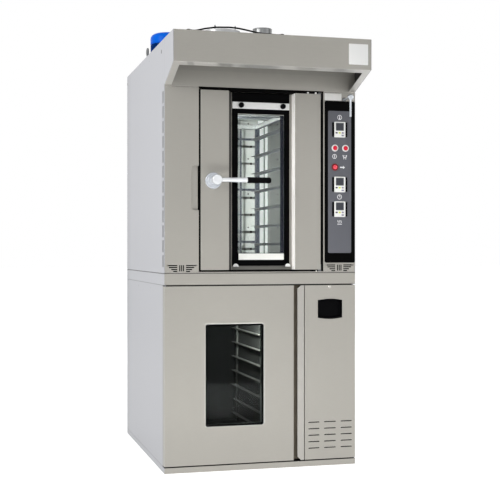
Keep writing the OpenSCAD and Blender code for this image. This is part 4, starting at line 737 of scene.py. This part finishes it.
def folded(node, width=0.8, rules=(), mat=None):
    """A closer copy of a CAD node: its triangles merged into whole faces and its long edges rounded.

    The rounding follows the narrower of the two faces at an edge, so a thin sheet's rim stays a rim.
    """
    mesh = frame["nodes"][node].data.copy()
    bm = bmesh.new()
    bm.from_mesh(mesh)
    bmesh.ops.remove_doubles(bm, verts=bm.verts, dist=2e-6)
    bmesh.ops.dissolve_limit(bm, angle_limit=math.radians(0.3), verts=bm.verts, edges=bm.edges)
    if node in RINGED:
        bmesh.ops.connect_verts_concave(bm, faces=bm.faces)
    if any(cut for _, _, cut in rules):
        bmesh.ops.bisect_plane(bm, geom=bm.verts[:] + bm.edges[:] + bm.faces[:], dist=1e-6,
                               plane_co=(0, FRONT * MM, 0), plane_no=(0, 1, 0))
    for k, (box, _, _) in enumerate(rules):
        for face in bm.faces:
            middle = np.array(face.calc_center_median())
            if np.all(middle > box[:, 0]) and np.all(middle < box[:, 1]):
                face.material_index = k + 1
    layer = bm.edges.layers.float.new("bevel_weight_edge")
    for edge in bm.edges:
        if len(edge.link_faces) != 2 or edge.calc_face_angle(0) < math.radians(40) or edge.calc_length() < 0.006:
            continue
        narrow = min(face_width(f, edge) for f in edge.link_faces)
        weight = min(1.0, 0.42 * narrow / max(width * MM, 1e-6))
        if weight * width > 0.12:
            edge[layer] = weight
    slot = SLOT_OF[node]
    mesh.materials.clear()
    for finish in [mat or MATS[slot]] + [rule[1] for rule in rules]:
        mesh.materials.append(finish)
    bm.to_mesh(mesh)
    bm.free()
    mesh.shade_smooth()
    mesh.set_sharp_from_angle(angle=math.radians(35))
    obj = bpy.data.objects.new(node + "_folded", mesh)
    bpy.context.collection.objects.link(obj)
    if width:
        bevel = obj.modifiers.new("edges", "BEVEL")
        bevel.width = width * MM
        bevel.segments = 2
        bevel.limit_method = "WEIGHT"
        bevel.use_clamp_overlap = False
        weighted = obj.modifiers.new("normals", "WEIGHTED_NORMAL")
        weighted.keep_sharp = True
    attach(obj, BODY_OF[node])
    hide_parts(node)
    return obj


# ---------------------------------------------------------------- finishes on the CAD pieces

for node, obj in frame["nodes"].items():
    for place in obj.material_slots:
        place.material = MATS[SLOT_OF[node]]


def painted_light_and_finish_zone(box, mat, cut=False):
    """A rule for a folded piece: faces whose middle lies in the box (in millimetres) take another material, painted
    shade in gaps and recesses, painted light on lit faces, and the side finish on the band's and plinth's sides.

    With cut, the faces are first parted at the plane of the front.
    """
    return np.array(box, float).reshape(3, 2) * MM, mat, cut


FOLDED = {
    "base_plinth": 1.0, "mid_band": 1.0, "lower_side_panels": 1.0, "oven_side_panels": 1.0, "back_panels": 1.0,
    "roof_panel": 1.0, "oven_front_frame": 1.0, "hood_fascia": 1.8, "door_stiles": 1.3, "door_window_frame": 1.0,
    "proofer_door_skin": 1.3, "service_door": 1.3, "proofer_door_liner": 1.0, "lower_front_frame": 1.2,
    "duct_panel": 0.8, "oven_liner": 0.8, "hood_filter": 1.5, "rack_frame": 2.0, "rack_runners": 0.8,
    "latch_keeper": 1.2, "control_panel": 0.8, "service_pull": 1.5, "glass_holders": 1.2,
    "damper_duct": 0.8, "proofer_liner": 0.8, "proofer_runners": 0.8, "water_tray": 0.8, "door_hinges": 0.8,
    "electrical_board": 1.0, "door_gasket": 1.6, "proofer_gasket": 1.2, "heating_elements": 0.0,
    "lifting_eyes": 1.0, "steam_tank": 2.0, "hinge_pins": 0.5, "floor_bearing": 1.0,
}
# Rubber's black, laid on faces in gaps, rebates and slot sides as painted shade.
GAP_SHADE = MATS["rubber"]
SIDE = MATS["side_steel"]
# Zones of painted shade and painted light on the folded pieces, with a few real side finishes.
PAINTED_LIGHT_AND_FINISH_ZONES = {
    "oven_front_frame": [painted_light_and_finish_zone((-326.6, -325.4, -500, -423, 980, 1920), GAP_SHADE), painted_light_and_finish_zone((325.4, 326.6, -500, -423, 980, 1920), GAP_SHADE),
                         painted_light_and_finish_zone((-326, 326, -500, -423, 1912.5, 1913.5), GAP_SHADE), painted_light_and_finish_zone((-326, 326, -500, -423, 995.5, 996.5), GAP_SHADE),
                         painted_light_and_finish_zone((-490, -336, -499.9, -498.1, 995, 1040), GAP_SHADE), painted_light_and_finish_zone((336, 490, -499.9, -498.1, 995, 1040), GAP_SHADE)],
    "door_stiles": [painted_light_and_finish_zone((173.4, 174.6, -499, -420, 1000, 1910), GLOWING_JAMB), painted_light_and_finish_zone((-317.6, -316.4, -499, -420, 1000, 1910), GAP_SHADE),
                    painted_light_and_finish_zone((-318, 313, -499, -420, 1903.5, 1904.5), GAP_SHADE)],
    "mid_band": [painted_light_and_finish_zone((-500, 500, 729, 731, 900, 1000), SIDE), painted_light_and_finish_zone((-501, -499, -600, 740, 900, 1000), SIDE), painted_light_and_finish_zone((499, 501, -600, 740, 900, 1000), SIDE),
                 painted_light_and_finish_zone((-498, 498, -499.5, -440, 929, 931), GAP_SHADE)],
    "base_plinth": [painted_light_and_finish_zone((-500, 500, 729, 731, -1, 60), SIDE), painted_light_and_finish_zone((-501, -499, -600, 740, -1, 60), SIDE), painted_light_and_finish_zone((499, 501, -600, 740, -1, 60), SIDE),
                    painted_light_and_finish_zone((-498, 498, -499.5, -440, 29, 31), GAP_SHADE)],
    "proofer_door_skin": [painted_light_and_finish_zone((167.5, 188.2, -499, -464, 0, 930), CHANNEL), painted_light_and_finish_zone((150, 224, -490.7, -464.5, 0, 930), CHANNEL),
                          painted_light_and_finish_zone((189, 223.5, -500.1, -499.9, 0, 930), LIP_STRIP_LIT), painted_light_and_finish_zone((-500, 224, -499.5, -450, 924.5, 925.5), GAP_SHADE),
                          painted_light_and_finish_zone((-500, 224, -499.5, -450, 33.5, 34.5), GAP_SHADE)],
    "service_door": [painted_light_and_finish_zone((226, 500, -499.5, -450, 924.5, 925.5), GAP_SHADE), painted_light_and_finish_zone((226, 500, -499.5, -450, 33.5, 34.5), GAP_SHADE),
                     painted_light_and_finish_zone((240, 486, -499.9, -498.1, 84, 235), GAP_SHADE)],
    "lower_front_frame": [painted_light_and_finish_zone((-500, 500, -460, -400, 0, 1000), FRAME_SHADE)],
    "oven_liner": [painted_light_and_finish_zone((-500, 500, -500, 480, 1880, 2100), CEILING_SHADE), painted_light_and_finish_zone((300, 500, -500, 480, 1000, 1880), RIGHT_WALL_SHADE)],
    "proofer_liner": [painted_light_and_finish_zone((-500, 200, 600, 760, 0, 1000), SHADED), painted_light_and_finish_zone((-500, -300, -500, 760, 0, 1000), SHADED),
                      painted_light_and_finish_zone((-300, 200, -440, 600, 0, 1000), PROOF_WALL_SHADE)],
    "rack_frame": [painted_light_and_finish_zone((-240, 240, -230, 410, 1815.5, 1860), RACK_TOP_LIT), painted_light_and_finish_zone((-200, 200, 40, 165, 1830, 1860), CEILING_SHADE)],
    "oven_side_panels": [painted_light_and_finish_zone((495, 499, -731, -501, 1900, 2155), HOOD_INSIDE_SHADE, True)],
    "hood_fascia": [painted_light_and_finish_zone((-500, 500, -729, -500.2, 1900, 1999.0), LIP_SHEEN)],
}
for node, width in FOLDED.items():
    folded(node, width, PAINTED_LIGHT_AND_FINISH_ZONES.get(node, ()), {"latch_keeper": DISH_LIT, "door_window_frame": RECESS, "rack_runners": RUNNER_SHADE, "proofer_runners": PROOF_RUNNER_SHADED, "duct_panel": BACK_WALL}.get(node))
for place in frame["nodes"]["door_outer_glass"].material_slots:
    place.material = OVEN_GLASS

# ---------------------------------------------------------------- the oven door

PANE = (-145, 158, 1025, 1903)
APERTURE = (-115, 129, 1088, 1796)
GLASS_Y = -455.0
CLAMP_Z = 1838

piece("glass_border", window_ring(round_outline(*PANE, 2), round_outline(*APERTURE, 2.5), GLASS_Y - 0.5, GLASS_Y - 0.05),
      "oven_door", "panel_plastic", ENAMEL)
inner = (-111, 113, 1092, 1792)
piece("inner_glass_border", window_ring(round_outline(-113, 132, 1090, 1794, 2), round_outline(*inner, 3), -440.6, -440.1),
      "oven_door", "panel_plastic", NAVY)
piece("glass_base_strip", plate(-111, 128, 1055, 1087, GLASS_Y - 1.1, GLASS_Y - 0.5, 1.5, 0.4), "oven_door",
      "white_paint", CREAM)

KNOB_PROFILE = [(0, 11.0), (0.4, 13.2), (1.0, 13.5), (10.5, 13.5)] + arc((10.5, 10.5), (3.5, 3.0), 90, 0, 5) + [
    (14.2, 7.0), (13.6, 5.2), (13.4, 0.01)]
KNOB_SHANK = [(-16.6, 0.01), (-16.6, 4.4), (-16.0, 5.0), (0.5, 5.0), (0.5, 0.01)]
for name, x, body in (("left", -99, "knob_left"), ("right", 121, "knob_right")):
    flutes = turned((x, -460.6, CLAMP_Z), (0, -1, 0), KNOB_PROFILE, 72, lambda a: 1 - 0.028 * (np.cos(9 * a) > 0.35))
    shank = turned((x, -460.6, CLAMP_Z), (0, -1, 0), KNOB_SHANK, 20)
    piece("knob_" + name, join([loft(flutes), loft(shank)]), body, "black_plastic", stands_for=["clamp_knob_" + name])

SPINDLE = (-253, 1451)


def on_spindle(y):
    """The point of the handle's axis at one depth."""
    return SPINDLE[0], y, SPINDLE[1]


rosette = [(-20, 8.1), (-20, 13), (0, 13), (0, 41), (5.5, 41)] + arc((5.5, 38), (3.5, 3), 90, 0, 6)[1:] + [
    (9.0, 35.5), (7.4, 34.0), (6.8, 32.0), (7.2, 30.0), (8.8, 28.6), (10.0, 27.5), (10.0, 8.1)]
piece("rosette", loft(turned(on_spindle(FRONT), (0, -1, 0), rosette, 72), loop=True), "oven_door", "bright_steel",
      stands_for=["handle_rosette"])
hub = [(0, 0.01), (0, 8), (39.4, 8), (39.6, 16.4), (40.2, 17), (84, 17), (94, 17.5), (99, 20), (102, 23.6), (104, 24.7),
       (106, 25), (123, 25)] + arc((123, 19), (6, 6), 90, 0, 7)[1:] + [(129, 12), (128.4, 10.5), (128.4, 0.01)]
arm = [(12, 9.5), (24, 10.2), (28, 10.8), (60, 11.4), (110, 12.2), (146, 12.5), (147, 12.9), (153, 12.9), (153, 0.01)]
lock = np.concatenate([
    np.stack([8 * np.cos(a), 8 * np.sin(a) + shift], -1) + SPINDLE
    for a, shift in ((np.linspace(0, math.pi, 10), 0), (np.linspace(math.pi, 2 * math.pi, 10), -89))
])
piece("lever", join([
    loft(turned(on_spindle(-470), (0, -1, 0), hub, 48)),
    loft(turned(on_spindle(-584), (1, 0, 0), arm, 32)),
    loft([at_depth(lock, -476), at_depth(lock, -470)]),
]), "handle", "bright_steel", LEVER, stands_for=["handle_lever"])
grip = [(0, 0.01), (0, 12.6), (1.5, 14.2), (4, 15), (40, 14.8), (80, 14.9), (114, 15)] + arc(
    (114, 6), (9, 9), 90, 0, 6)[1:] + [(123, 0.01)]
piece("grip", loft(turned((-100, -584, 1451), (1, 0, 0), grip, 32)), "handle", "black_plastic",
      stands_for=["handle_grip"])

# Hinge plates over and under the door, with their bright screws.


def screw(centre, way, r=4.0, h=2.2):
    """A pan head: a low dome on a short rim, with a round socket sunk into it."""
    profile = [(0, 0.01), (0, r), (0.35 * h, r)] + arc((0.35 * h, r * 0.55), (0.65 * h, r * 0.45), 90, 0, 4)[1:] + [
        (h, r * 0.42), (h * 0.5, r * 0.38), (h * 0.5, 0.01)]
    return loft(turned(centre, way, profile, 16))


piece("hinge_plate_top", plate(228, 300, 1906.2, 1912.6, -492, -489.5, 0.8, 0.3), "cabinet", "rubber")
piece("hinge_plate_bottom", plate(262, 300, 996.4, 1003.2, -492, -489.5, 0.8, 0.3), "cabinet", "rubber")
# The hinge screws take the glowing jamb finish: painted light.
piece("hinge_screws", join([screw((x, -492, z), (0, -1, 0), r, 6.5) for x, z, r in (
    (245, 1907.6, 5.4), (287, 1907.6, 5.4), (290, 997.5, 3.0))]), "cabinet", "bright_steel", GLOWING_JAMB)

# The black seal along the top of the opening.
seal_run = [(0, 0.01), (0, 3.1), (654, 3.1), (654, 0.01)]
piece("top_seal", loft(turned((-327, -499.4, 1915.3), (1, 0, 0), seal_run, 16)), "cabinet", "rubber")
# Dark plates behind the air slots of the front and of the service door: painted shade seen through the slots.
vent_back = [plate(c - 66, c + 66, 995, 1034, -497.6, -497.0, 2, 0.1) for c in (-413, 413)]
piece("vent_backs", join(vent_back), "cabinet", "rubber")
piece("louvre_backs", plate(242, 486, 84, 232, -497.6, -497.0, 2, 0.1), "service_leaf", "rubber")
# Light baffles behind the columns of air slots.
piece("slot_baffles", join([loft([np.array([(x, -490, z), (x, -441, z), (x + 1, -441, z), (x + 1, -490, z)], float)
                                  for z in (1012, 1990)]) for x in (-496.6, 495.6)]), "cabinet", "side_steel", BAFFLE)

# ---------------------------------------------------------------- the control panel

PANEL_Y = -503.0
CONTROL_X = 414
piece("panel_film", plate(351, 477, 1090, 1820, PANEL_Y - 0.35, PANEL_Y, 7, 0.15), "cabinet", "panel_plastic", FILM)


def controller(z):
    """One controller: its white body with a deep back."""
    front = plate(384, 444, z - 40, z + 40, PANEL_Y - 6, PANEL_Y + 0.2, 3.5, 1.6)
    back = plate(388, 440, z - 36, z + 36, PANEL_Y, -450, 1, 0.2)
    return join([front, back])


LEVELS = (1724, 1442, 1315)
piece("controller_bodies", join([controller(z) for z in LEVELS]), "cabinet", "white_plastic", stands_for=["controllers"])
piece("controller_clips", join([plate(x0, x1, z - 37, z + 37, PANEL_Y - 3.6, PANEL_Y, 2, 0.8)
                                for z in LEVELS for x0, x1 in ((373, 383.6), (444.4, 455))]), "cabinet", "black_plastic")
piece("controller_bezels", join([window_ring(round_outline(391, 435, z - 6, z + 35, 3), round_outline(
    394, 432, z - 3, z + 32, 2), PANEL_Y - 6.5, PANEL_Y - 5.9) for z in LEVELS]), "cabinet", "grey_paint")
piece("controller_displays", join([plate(393.5, 432.5, z - 3.5, z + 32.5, PANEL_Y - 6.25, PANEL_Y - 5.9, 1.5, 0.1)
                                   for z in LEVELS]), "cabinet", "panel_plastic", DISPLAY)
for tone, x0, x1, low in (("dark", 390, 401, -20.5), ("green", 406, 418, -20.5), ("violet", 423, 434, -20.5),
                          ("violet", 422, 435, -34)):
    piece(f"keys_{tone}_{int(-low)}", join([plate(x0, x1, z + low, z + low + 7.5, PANEL_Y - 6.9, PANEL_Y - 5.9, 2, 0.5)
                                           for z in LEVELS]), "cabinet", "panel_plastic", KEYS[tone])

COLLAR = [(-23, 10.2), (-23, 12), (0, 12), (0, 18), (2.5, 18)] + arc((2.5, 14.5), (3.5, 3.5), 90, 10, 6)[1:] + [
    (5.9, 13.2), (4.6, 12.1), (0.8, 12.0), (0.8, 10.2)]
CAP = [(-28, 0.01), (-28, 10), (5.5, 10), (5.5, 11.4)] + arc((6.2, 0), (4.8, 11.6), 80, 0, 9) + [(11, 0.01)]
for name, x, z in (("start", 388, 1629), ("stop", 445, 1629), ("signal", 388, 1531)):
    lit = name == "signal"
    piece(name + "_cap", loft(turned((x, PANEL_Y, z), (0, -1, 0), CAP, 40)), name + "_push", "red_plastic",
          LENS_RED if lit else None, stands_for=[name + "_button"])
piece("button_bezels", join([loft(turned((x, PANEL_Y, z), (0, -1, 0), COLLAR, 48), loop=True) for x, z in (
    (388, 1629), (445, 1629))]), "cabinet", "bright_steel", COLLAR_WHITE, stands_for=["button_collars"])
piece("signal_rim", loft(turned((388, PANEL_Y, 1531), (0, -1, 0), COLLAR, 48), loop=True), "cabinet", "red_plastic",
      RIM_RED, stands_for=["button_collars"])

PRINT_Y = (PANEL_Y - 0.45, PANEL_Y - 0.3)


def ring_print(x, z, r, w):
    """A printed ring: two circles, filled between."""
    a = np.linspace(0, 2 * math.pi, 33)[:-1]
    circle = np.stack([np.cos(a), np.sin(a)], -1)
    return window_ring(circle * r + (x, z), circle * (r - 1.3 * w) + (x, z), *PRINT_Y)


def shape_print(*points):
    """A printed patch with straight sides."""
    outline = np.array(points, float)
    return loft([at_depth(outline, PRINT_Y[1]), at_depth(outline, PRINT_Y[0])])


def stroke(x0, z0, x1, z1, w=2.8):
    """A printed stroke from one point to another."""
    way = np.array([x1 - x0, z1 - z0], float)
    side = np.array([-way[1], way[0]]) / np.hypot(*way) * w / 2
    a, b = np.array([x0, z0], float), np.array([x1, z1], float)
    return shape_print(a + side, a - side, b - side, b + side)


def wave(x, z, h, w=2.6):
    """A printed upright wave: x moves as the sine of the height."""
    t = np.linspace(0, h, 17)
    line = x + 2.2 * np.sin(t / h * 2 * math.pi)
    return shape_print(*np.stack([line - w / 2, z + t], -1), *np.stack([line + w / 2, z + t], -1)[::-1])


thermometer = [ring_print(414, 1787, 12.5, 2), ring_print(414, 1781.5, 3.6, 3.4), stroke(414, 1783, 414, 1795, 3)]
switch_mark = [ring_print(386, 1586, 12, 2), stroke(386, 1579, 386, 1593, 3)]
cart = [shape_print((430, 1594), (434, 1580), (450, 1580), (454, 1594), (450.5, 1594), (447.5, 1583), (436.5, 1583),
                    (433.5, 1594)), stroke(434, 1590, 450, 1590, 1.6), ring_print(437, 1575, 2.6, 1.4),
        ring_print(447, 1575, 2.6, 1.4)]
arrow = [stroke(416, 1530.5, 433, 1530.5, 6), shape_print((432, 1538.5), (432, 1522.5), (443, 1530.5))]
clock = [ring_print(413, 1378, 12.5, 2), stroke(413, 1378, 413, 1387, 2), stroke(413, 1378, 419, 1378, 2)]
steam = [wave(x, 1245, 13) for x in (405, 413.5, 422)] + [stroke(401, 1238, 426, 1238, 3)]
piece("panel_marks", join(thermometer + switch_mark + cart + arrow + clock + steam), "cabinet", "white_paint", PRINT)

# ---------------------------------------------------------------- plates

piece("badge_plate", plate(381, 482, 2021, 2124, -730, -729, 3, 0.5), "cabinet", "white_paint",
      stands_for=["plain_plates"])
piece("label_plate", plate(333, 425, 1874, 1910, -501, -500, 2, 0.4), "cabinet", "white_paint", LABEL,
      stands_for=["plain_plates"])

# ---------------------------------------------------------------- the damper lever

DAMPER = (439, 1880)
rod = [(0, 0.01), (0, 4.2), (0.8, 5.0), (2.5, 5.3), (86, 5.3), (88, 6.6), (100, 7.5), (100, 0.01)]
knob = [(-12, 0.01), (-12, 9)] + arc((-6, 9), (6, 6), 180, 90, 5)[1:] + [(4, 15)] + arc((4, 7), (8, 8), 90, 0, 8)[1:] + [
    (12, 0.01)]
spindle = [(0, 0.01), (0, 5), (144.8, 5), (144.8, 0.01)]
piece("damper_handle", join([
    loft(turned((DAMPER[0], -595, DAMPER[1] - 100), (0, 0, 1), rod, 24)),
    loft(turned((DAMPER[0], -595, DAMPER[1]), (0, -1, 0), knob, 48)),
    loft(turned((DAMPER[0], -595, DAMPER[1]), (0, 1, 0), spindle, 24)),
]), "damper", "bright_steel", stands_for=["damper_lever"])
boss = [(0, 5.3), (0, 11), (2, 11), (3, 10), (9, 7.4), (10, 6.6), (10, 5.3)]
piece("damper_boss", loft(turned((DAMPER[0], -500, DAMPER[1]), (0, -1, 0), boss, 32), loop=True), "cabinet",
      "grey_paint")

# ---------------------------------------------------------------- the proving cabinet's doors

PROOF = (-292.5, 9.5, 223, 735)
x0, x1, z0, z1 = PROOF
piece("window_trim", window_ring(round_outline(x0 - 2.5, x1 + 2.5, z0 - 2.5, z1 + 2.5, 14), round_outline(
    x0 + 0.6, x1 - 0.6, z0 + 0.6, z1 - 0.6, 11.4), -500.9, -497.8, -0.5), "proofer_leaf", "bright_steel", TRIM)
piece("window_border", window_ring(round_outline(x0 - 6, x1 + 6, z0 - 6, z1 + 6, 12), round_outline(
    x0 + 10, x1 - 10, z0 + 10, z1 - 10, 6), -498.3, -497.75), "proofer_leaf", "panel_plastic", ENAMEL)


def louvre(x0, x1, z):
    """A pressed hood over a slot: its height follows a quarter circle and fades towards both ends.

    With u along the slot and v down the hood, y = -500 - 2.4 * sin(pi u)^0.25 * sin(v) and z falls as 1 - cos(v).
    """
    u, v = np.meshgrid(np.linspace(0, 1, 13), np.radians([0, 25, 50, 70, 90]), indexing="ij")
    bulge = np.clip(np.sin(math.pi * u), 0, 1) ** 0.25
    out = np.stack([x0 + (x1 - x0) * u, -500.05 - 2.4 * bulge * np.sin(v), z + 7 * (np.cos(v) * bulge)], -1)
    back = out.copy()
    back[..., 1] += 1.2 * bulge
    back[:, 0, 1] = -500.0
    rings = np.concatenate([out, back[:, ::-1]], 1)
    return loft(rings)


slots = [(246, 305), (331, 394), (421, 481)]
piece("louvres", join([louvre(a - 2, b + 2, 89.5 + 33 * i + 5.5) for i in range(5) for a, b in slots]), "service_leaf",
      "front_steel")
lock_rim = [(0, 4.4), (0, 7.6), (1.0, 7.6), (1.8, 6.8), (1.8, 5.0), (1.2, 4.4)]
lock_core = [(0, 0.01), (0, 4.3), (0.5, 4.3), (0.7, 3.9), (0.7, 0.01)]
piece("service_lock_rim", loft(turned((362, -500, 917), (0, -1, 0), lock_rim, 32), loop=True), "service_leaf", "bright_steel",
      CHROME)
piece("service_lock", join([loft(turned((362, -500, 917), (0, -1, 0), lock_core, 32)),
                            plate(361.3, 362.7, 914, 920, -501.1, -500.6, 0.3, 0.1)]), "service_leaf", "front_steel")

# ---------------------------------------------------------------- inside the oven

RIVET_Z = [1117 + 102 * i - d for i in range(8) for d in (0, 22)]
rivets = [screw((x, -212.8, z), (0, -1, 0), 3.6, 1.4) for x in (-217.5, 217.5) for z in RIVET_Z if 1095 < z < 1810]
rivets += [screw((x, 392.8, z), (0, 1, 0), 3.6, 1.4) for x in (-217.5, 217.5) for z in RIVET_Z if 1095 < z < 1810]
piece("rack_rivets", join(rivets), "rack", "bright_steel", CHROME)
# The duct covers glow with painted light.
strips = [plate(252, 284, 1028, 1880, 478.8, 483.6, 1.5, 0.8), plate(294, 309, 1028, 1880, 480.0, 483.6, 1.5, 0.8)]
piece("duct_covers", join(strips), "cabinet", "liner_steel", GLOWING_COVER)
duct_screws = [screw((x, 483.9, z), (0, -1, 0), 4.5, 2) for x in (-372, -190, -30, 30, 190, 372) for z in
               (1050, 1240, 1440, 1650, 1860)]
piece("duct_screws", join(duct_screws), "cabinet", "bright_steel", DARK_SCREW)

# ---------------------------------------------------------------- on the roof

ROOF = 2148.0
FAN = (-288, 520)


def blocky(x0, x1, y0, y1, z0, z1, r, edge):
    """An upright block with round corners: its outline shrinks as 1 - cos towards the rounded top."""
    steps = [(0.0, z0)] + [(edge * (1 - math.cos(a)), z1 - edge * (1 - math.sin(a))) for a in np.radians([0, 30, 60, 90])]
    rings = []
    for inset, z in steps:
        o = round_outline(x0 + inset, x1 - inset, y0 + inset, y1 - inset, max(r - inset, 0.1))
        rings.append(np.column_stack([o, np.full(len(o), z)]))
    return loft(rings)


def finned(a):
    """Cooling ribs: full radius over 4 of every 9 steps round the circle, less between."""
    step = np.round(a / (2 * math.pi) * 324).astype(int) % 9
    return np.where(step < 4, 1.0, 0.93)


cowl = [(164, 88), (164, 101.5), (167, 101.5), (168, 105), (198, 105)] + arc((198, 71), (30, 34), 90, 0, 9)[1:] + [
    (228, 64), (226.5, 62), (226.5, 56), (228, 54), (228, 44), (226.5, 42), (226.5, 36), (228, 34), (228, 24),
    (226.5, 22), (226.5, 14), (228, 12), (228, 0.01)]
flange = [(0, 9.7), (0, 93), (14, 93), (14, 101), (16, 103), (27, 103), (30, 101), (33, 90), (33, 9.7)]
fins = [(32, 0.01), (32, 99), (36, 104), (162, 104), (165, 100), (165, 0.01)]
fan_base = (*FAN, ROOF)
box = blocky(FAN[0] - 30, FAN[0] + 30, FAN[1] - 112, FAN[1] - 80, ROOF + 60, ROOF + 128, 6, 4)
piece("motor_cowl", join([
    loft(turned(fan_base, (0, 0, 1), cowl, 64)), loft(turned(fan_base, (0, 0, 1), flange, 64), loop=True),
    box,
]), "cabinet", "motor_paint", stands_for=["fan_motor"])
# The fins take the darker copy of the motor paint: painted shade.
piece("motor_fins", loft(turned(fan_base, (0, 0, 1), fins, 324, finned)), "cabinet", "motor_paint", FINS_SHADE)
piece("motor_box_screws", join([screw((FAN[0] + dx, FAN[1] - 112, ROOF + z), (0, -1, 0), 3, 1.5) for dx in (-24, 24)
                                for z in (66, 122)]), "cabinet", "bright_steel")

drive_base = join([
    blocky(-80, 80, 10, 170, ROOF, ROOF + 12, 10, 2), blocky(-60, 60, 30, 150, ROOF + 12, ROOF + 96, 8, 5),
    blocky(-66, 66, 82, 98, ROOF + 12, ROOF + 88, 2, 1), blocky(-8, 8, 24, 156, ROOF + 12, ROOF + 88, 2, 1),
])
drive_fins = [(60, 0.01), (60, 42.5), (64, 43), (206, 43), (210, 42), (210, 0.01)]
drive_cowl = [(208, 0.01), (208, 44), (211, 46), (228, 46)] + arc((228, 34), (12, 12), 90, 0, 6)[1:] + [(240, 0.01)]
piece("rack_drive", join([
    drive_base, loft(turned((0, 90, 2206), (1, 0, 0), drive_fins, 324, finned)),
    loft(turned((0, 90, 2206), (1, 0, 0), drive_cowl, 48)),
]), "cabinet", "grey_paint", stands_for=["rack_gearmotor"])
piece("drive_bolts", join([screw((x, 90 + y, ROOF + 12), (0, 0, 1), 8, 5) for x in (-70, 70) for y in (-70, 70)]),
      "cabinet", "bright_steel")

EXHAUST = (-186, -398)
wall = 95.5
collar = [(0, wall), (0, 118.5), (2.2, 118.5), (3, 117.7), (3, 100), (5, 98.5), (42, 98.5)] + arc(
    (45, 97.2), (3, 1.3), 180, 0, 6) + [(48, 98.5), (62, 98.5)] + arc((64, 97.5), (2, 1.0), 150, 0, 5) + [(66, wall)]
piece("exhaust_spigot", join([loft(turned((*EXHAUST, ROOF), (0, 0, 1), collar, 80), loop=True)]), "cabinet", "liner_steel",
      DUCT, stands_for=["exhaust_collar"])
pins = []
for turn in (56, 124, 236, 304):
    at = (EXHAUST[0] + 93.2 * math.cos(math.radians(turn)), EXHAUST[1] + 93.2 * math.sin(math.radians(turn)))
    pins.append(loft(turned((*at, ROOF + 50), (0, 0, 1), [(0, 0.01), (0, 2.4), (35, 2.4), (36, 1.6), (36, 0.01)], 12)))
    pins.append(loft(turned((*at, ROOF + 76), (0, 0, 1), [(0, 0.01), (0, 4.8), (4.6, 4.8), (5, 4.2), (5, 0.01)], 6)))
piece("exhaust_pins", join(pins), "cabinet", "grey_paint")

FLUE = (35, -380)
flue = [(0, 47), (0, 68), (2.2, 68), (3, 67.2), (3, 51.5), (4.5, 50), (88, 50)] + arc((91, 49.2), (3, 0.8), 180, 0, 5) + [
    (94, 50), (96, 49.6), (97, 48.6), (97, 47)]
# The flue's streaks are painted reflections.
piece("flue_pipe", loft(turned((*FLUE, ROOF), (0, 0, 1), flue, 72), loop=True), "cabinet", "liner_steel", FLUE_SHEEN,
      stands_for=["flue_collar"])

ROUTE = np.array([
    (95, 5), (105, 5), (117, 6), (131, 9), (146, 13), (162, 17), (185, 21), (209, 25), (234, 27), (259, 28), (283, 29),
    (318, 27), (353, 22.5), (393, 15.5), (425, 10), (450, 7.5), (475, 6.5), (500, 5.5), (515, 5), (530, 5),
], float)
CABLE_Y = -700


def smooth_route(points, n=6):
    """Catmull-Rom: between two points each step blends the cubic whose slopes are half the neighbours' distance."""
    p = np.concatenate([[2 * points[0] - points[1]], points, [2 * points[-1] - points[-2]]])
    a, b, c, d = p[:-3], p[1:-2], p[2:-1], p[3:]
    t = (np.arange(n) / n)[None, :, None]
    a, b, c, d = (q[:, None] for q in (a, b, c, d))
    curve = 0.5 * (2 * b + (c - a) * t + (2 * a - 5 * b + 4 * c - d) * t ** 2 + (3 * b - a - 3 * c + d) * t ** 3)
    return np.concatenate([curve.reshape(-1, 2), points[-1:]])


line = smooth_route(ROUTE)
lead = np.stack([line[:, 0] - 500, np.full(len(line), CABLE_Y), line[:, 1] + ROOF], -1)
gland = [(0, 0.01), (0, 15), (2, 15), (3, 14), (3, 10.2), (4, 10), (8, 10)] + arc((8, 7.5), (2, 2.5), 90, 0, 4)[1:] + [
    (10, 0.01)]
nut = [(0, 0.01), (0, 4.3), (0.8, 4.9), (15, 4.9), (16, 4.3), (16, 0.01)]
ends = []
for x, way in ((-420, 1), (45, -1)):
    ends.append(loft(turned((x, CABLE_Y, ROOF), (0, 0, 1), gland, 24)))
    ends.append(loft(turned((x, CABLE_Y, ROOF + 5), (way, 0, 0), nut, 6)))
piece("roof_lead", join([swept(lead, 4.0, 14)] + ends), "cabinet", "rubber", stands_for=["roof_cable"])

# ---------------------------------------------------------------- screws on the sheets

back_at = [(x, z) for x in (-470, -160, 160, 470) for z in (1010, 2125)] + [(x, z) for x in (-470, 470) for z in (
    1290, 1570, 1850)] + [(x, z) for x in (-470, -160, 160, 470) for z in (60, 900)] + [(-470, 480), (470, 480)]
piece("back_screws", join([screw((x, 729.3, z), (0, 1, 0), 4.0, 0.7) for x, z in back_at]), "cabinet", "bright_steel",
      DARK_SCREW)
roof_at = [(x, y) for x in (-470, -160, 160, 470) for y in (-700, 705)] + [(x, y) for x in (-470, 470) for y in (
    -400, -60, 330)]
piece("roof_screws", join([screw((x, y, ROOF), (0, 0, 1), 4.0, 1.6) for x, y in roof_at if (x, y) != (-160, -700)]),
      "cabinet", "bright_steel", DARK_SCREW)
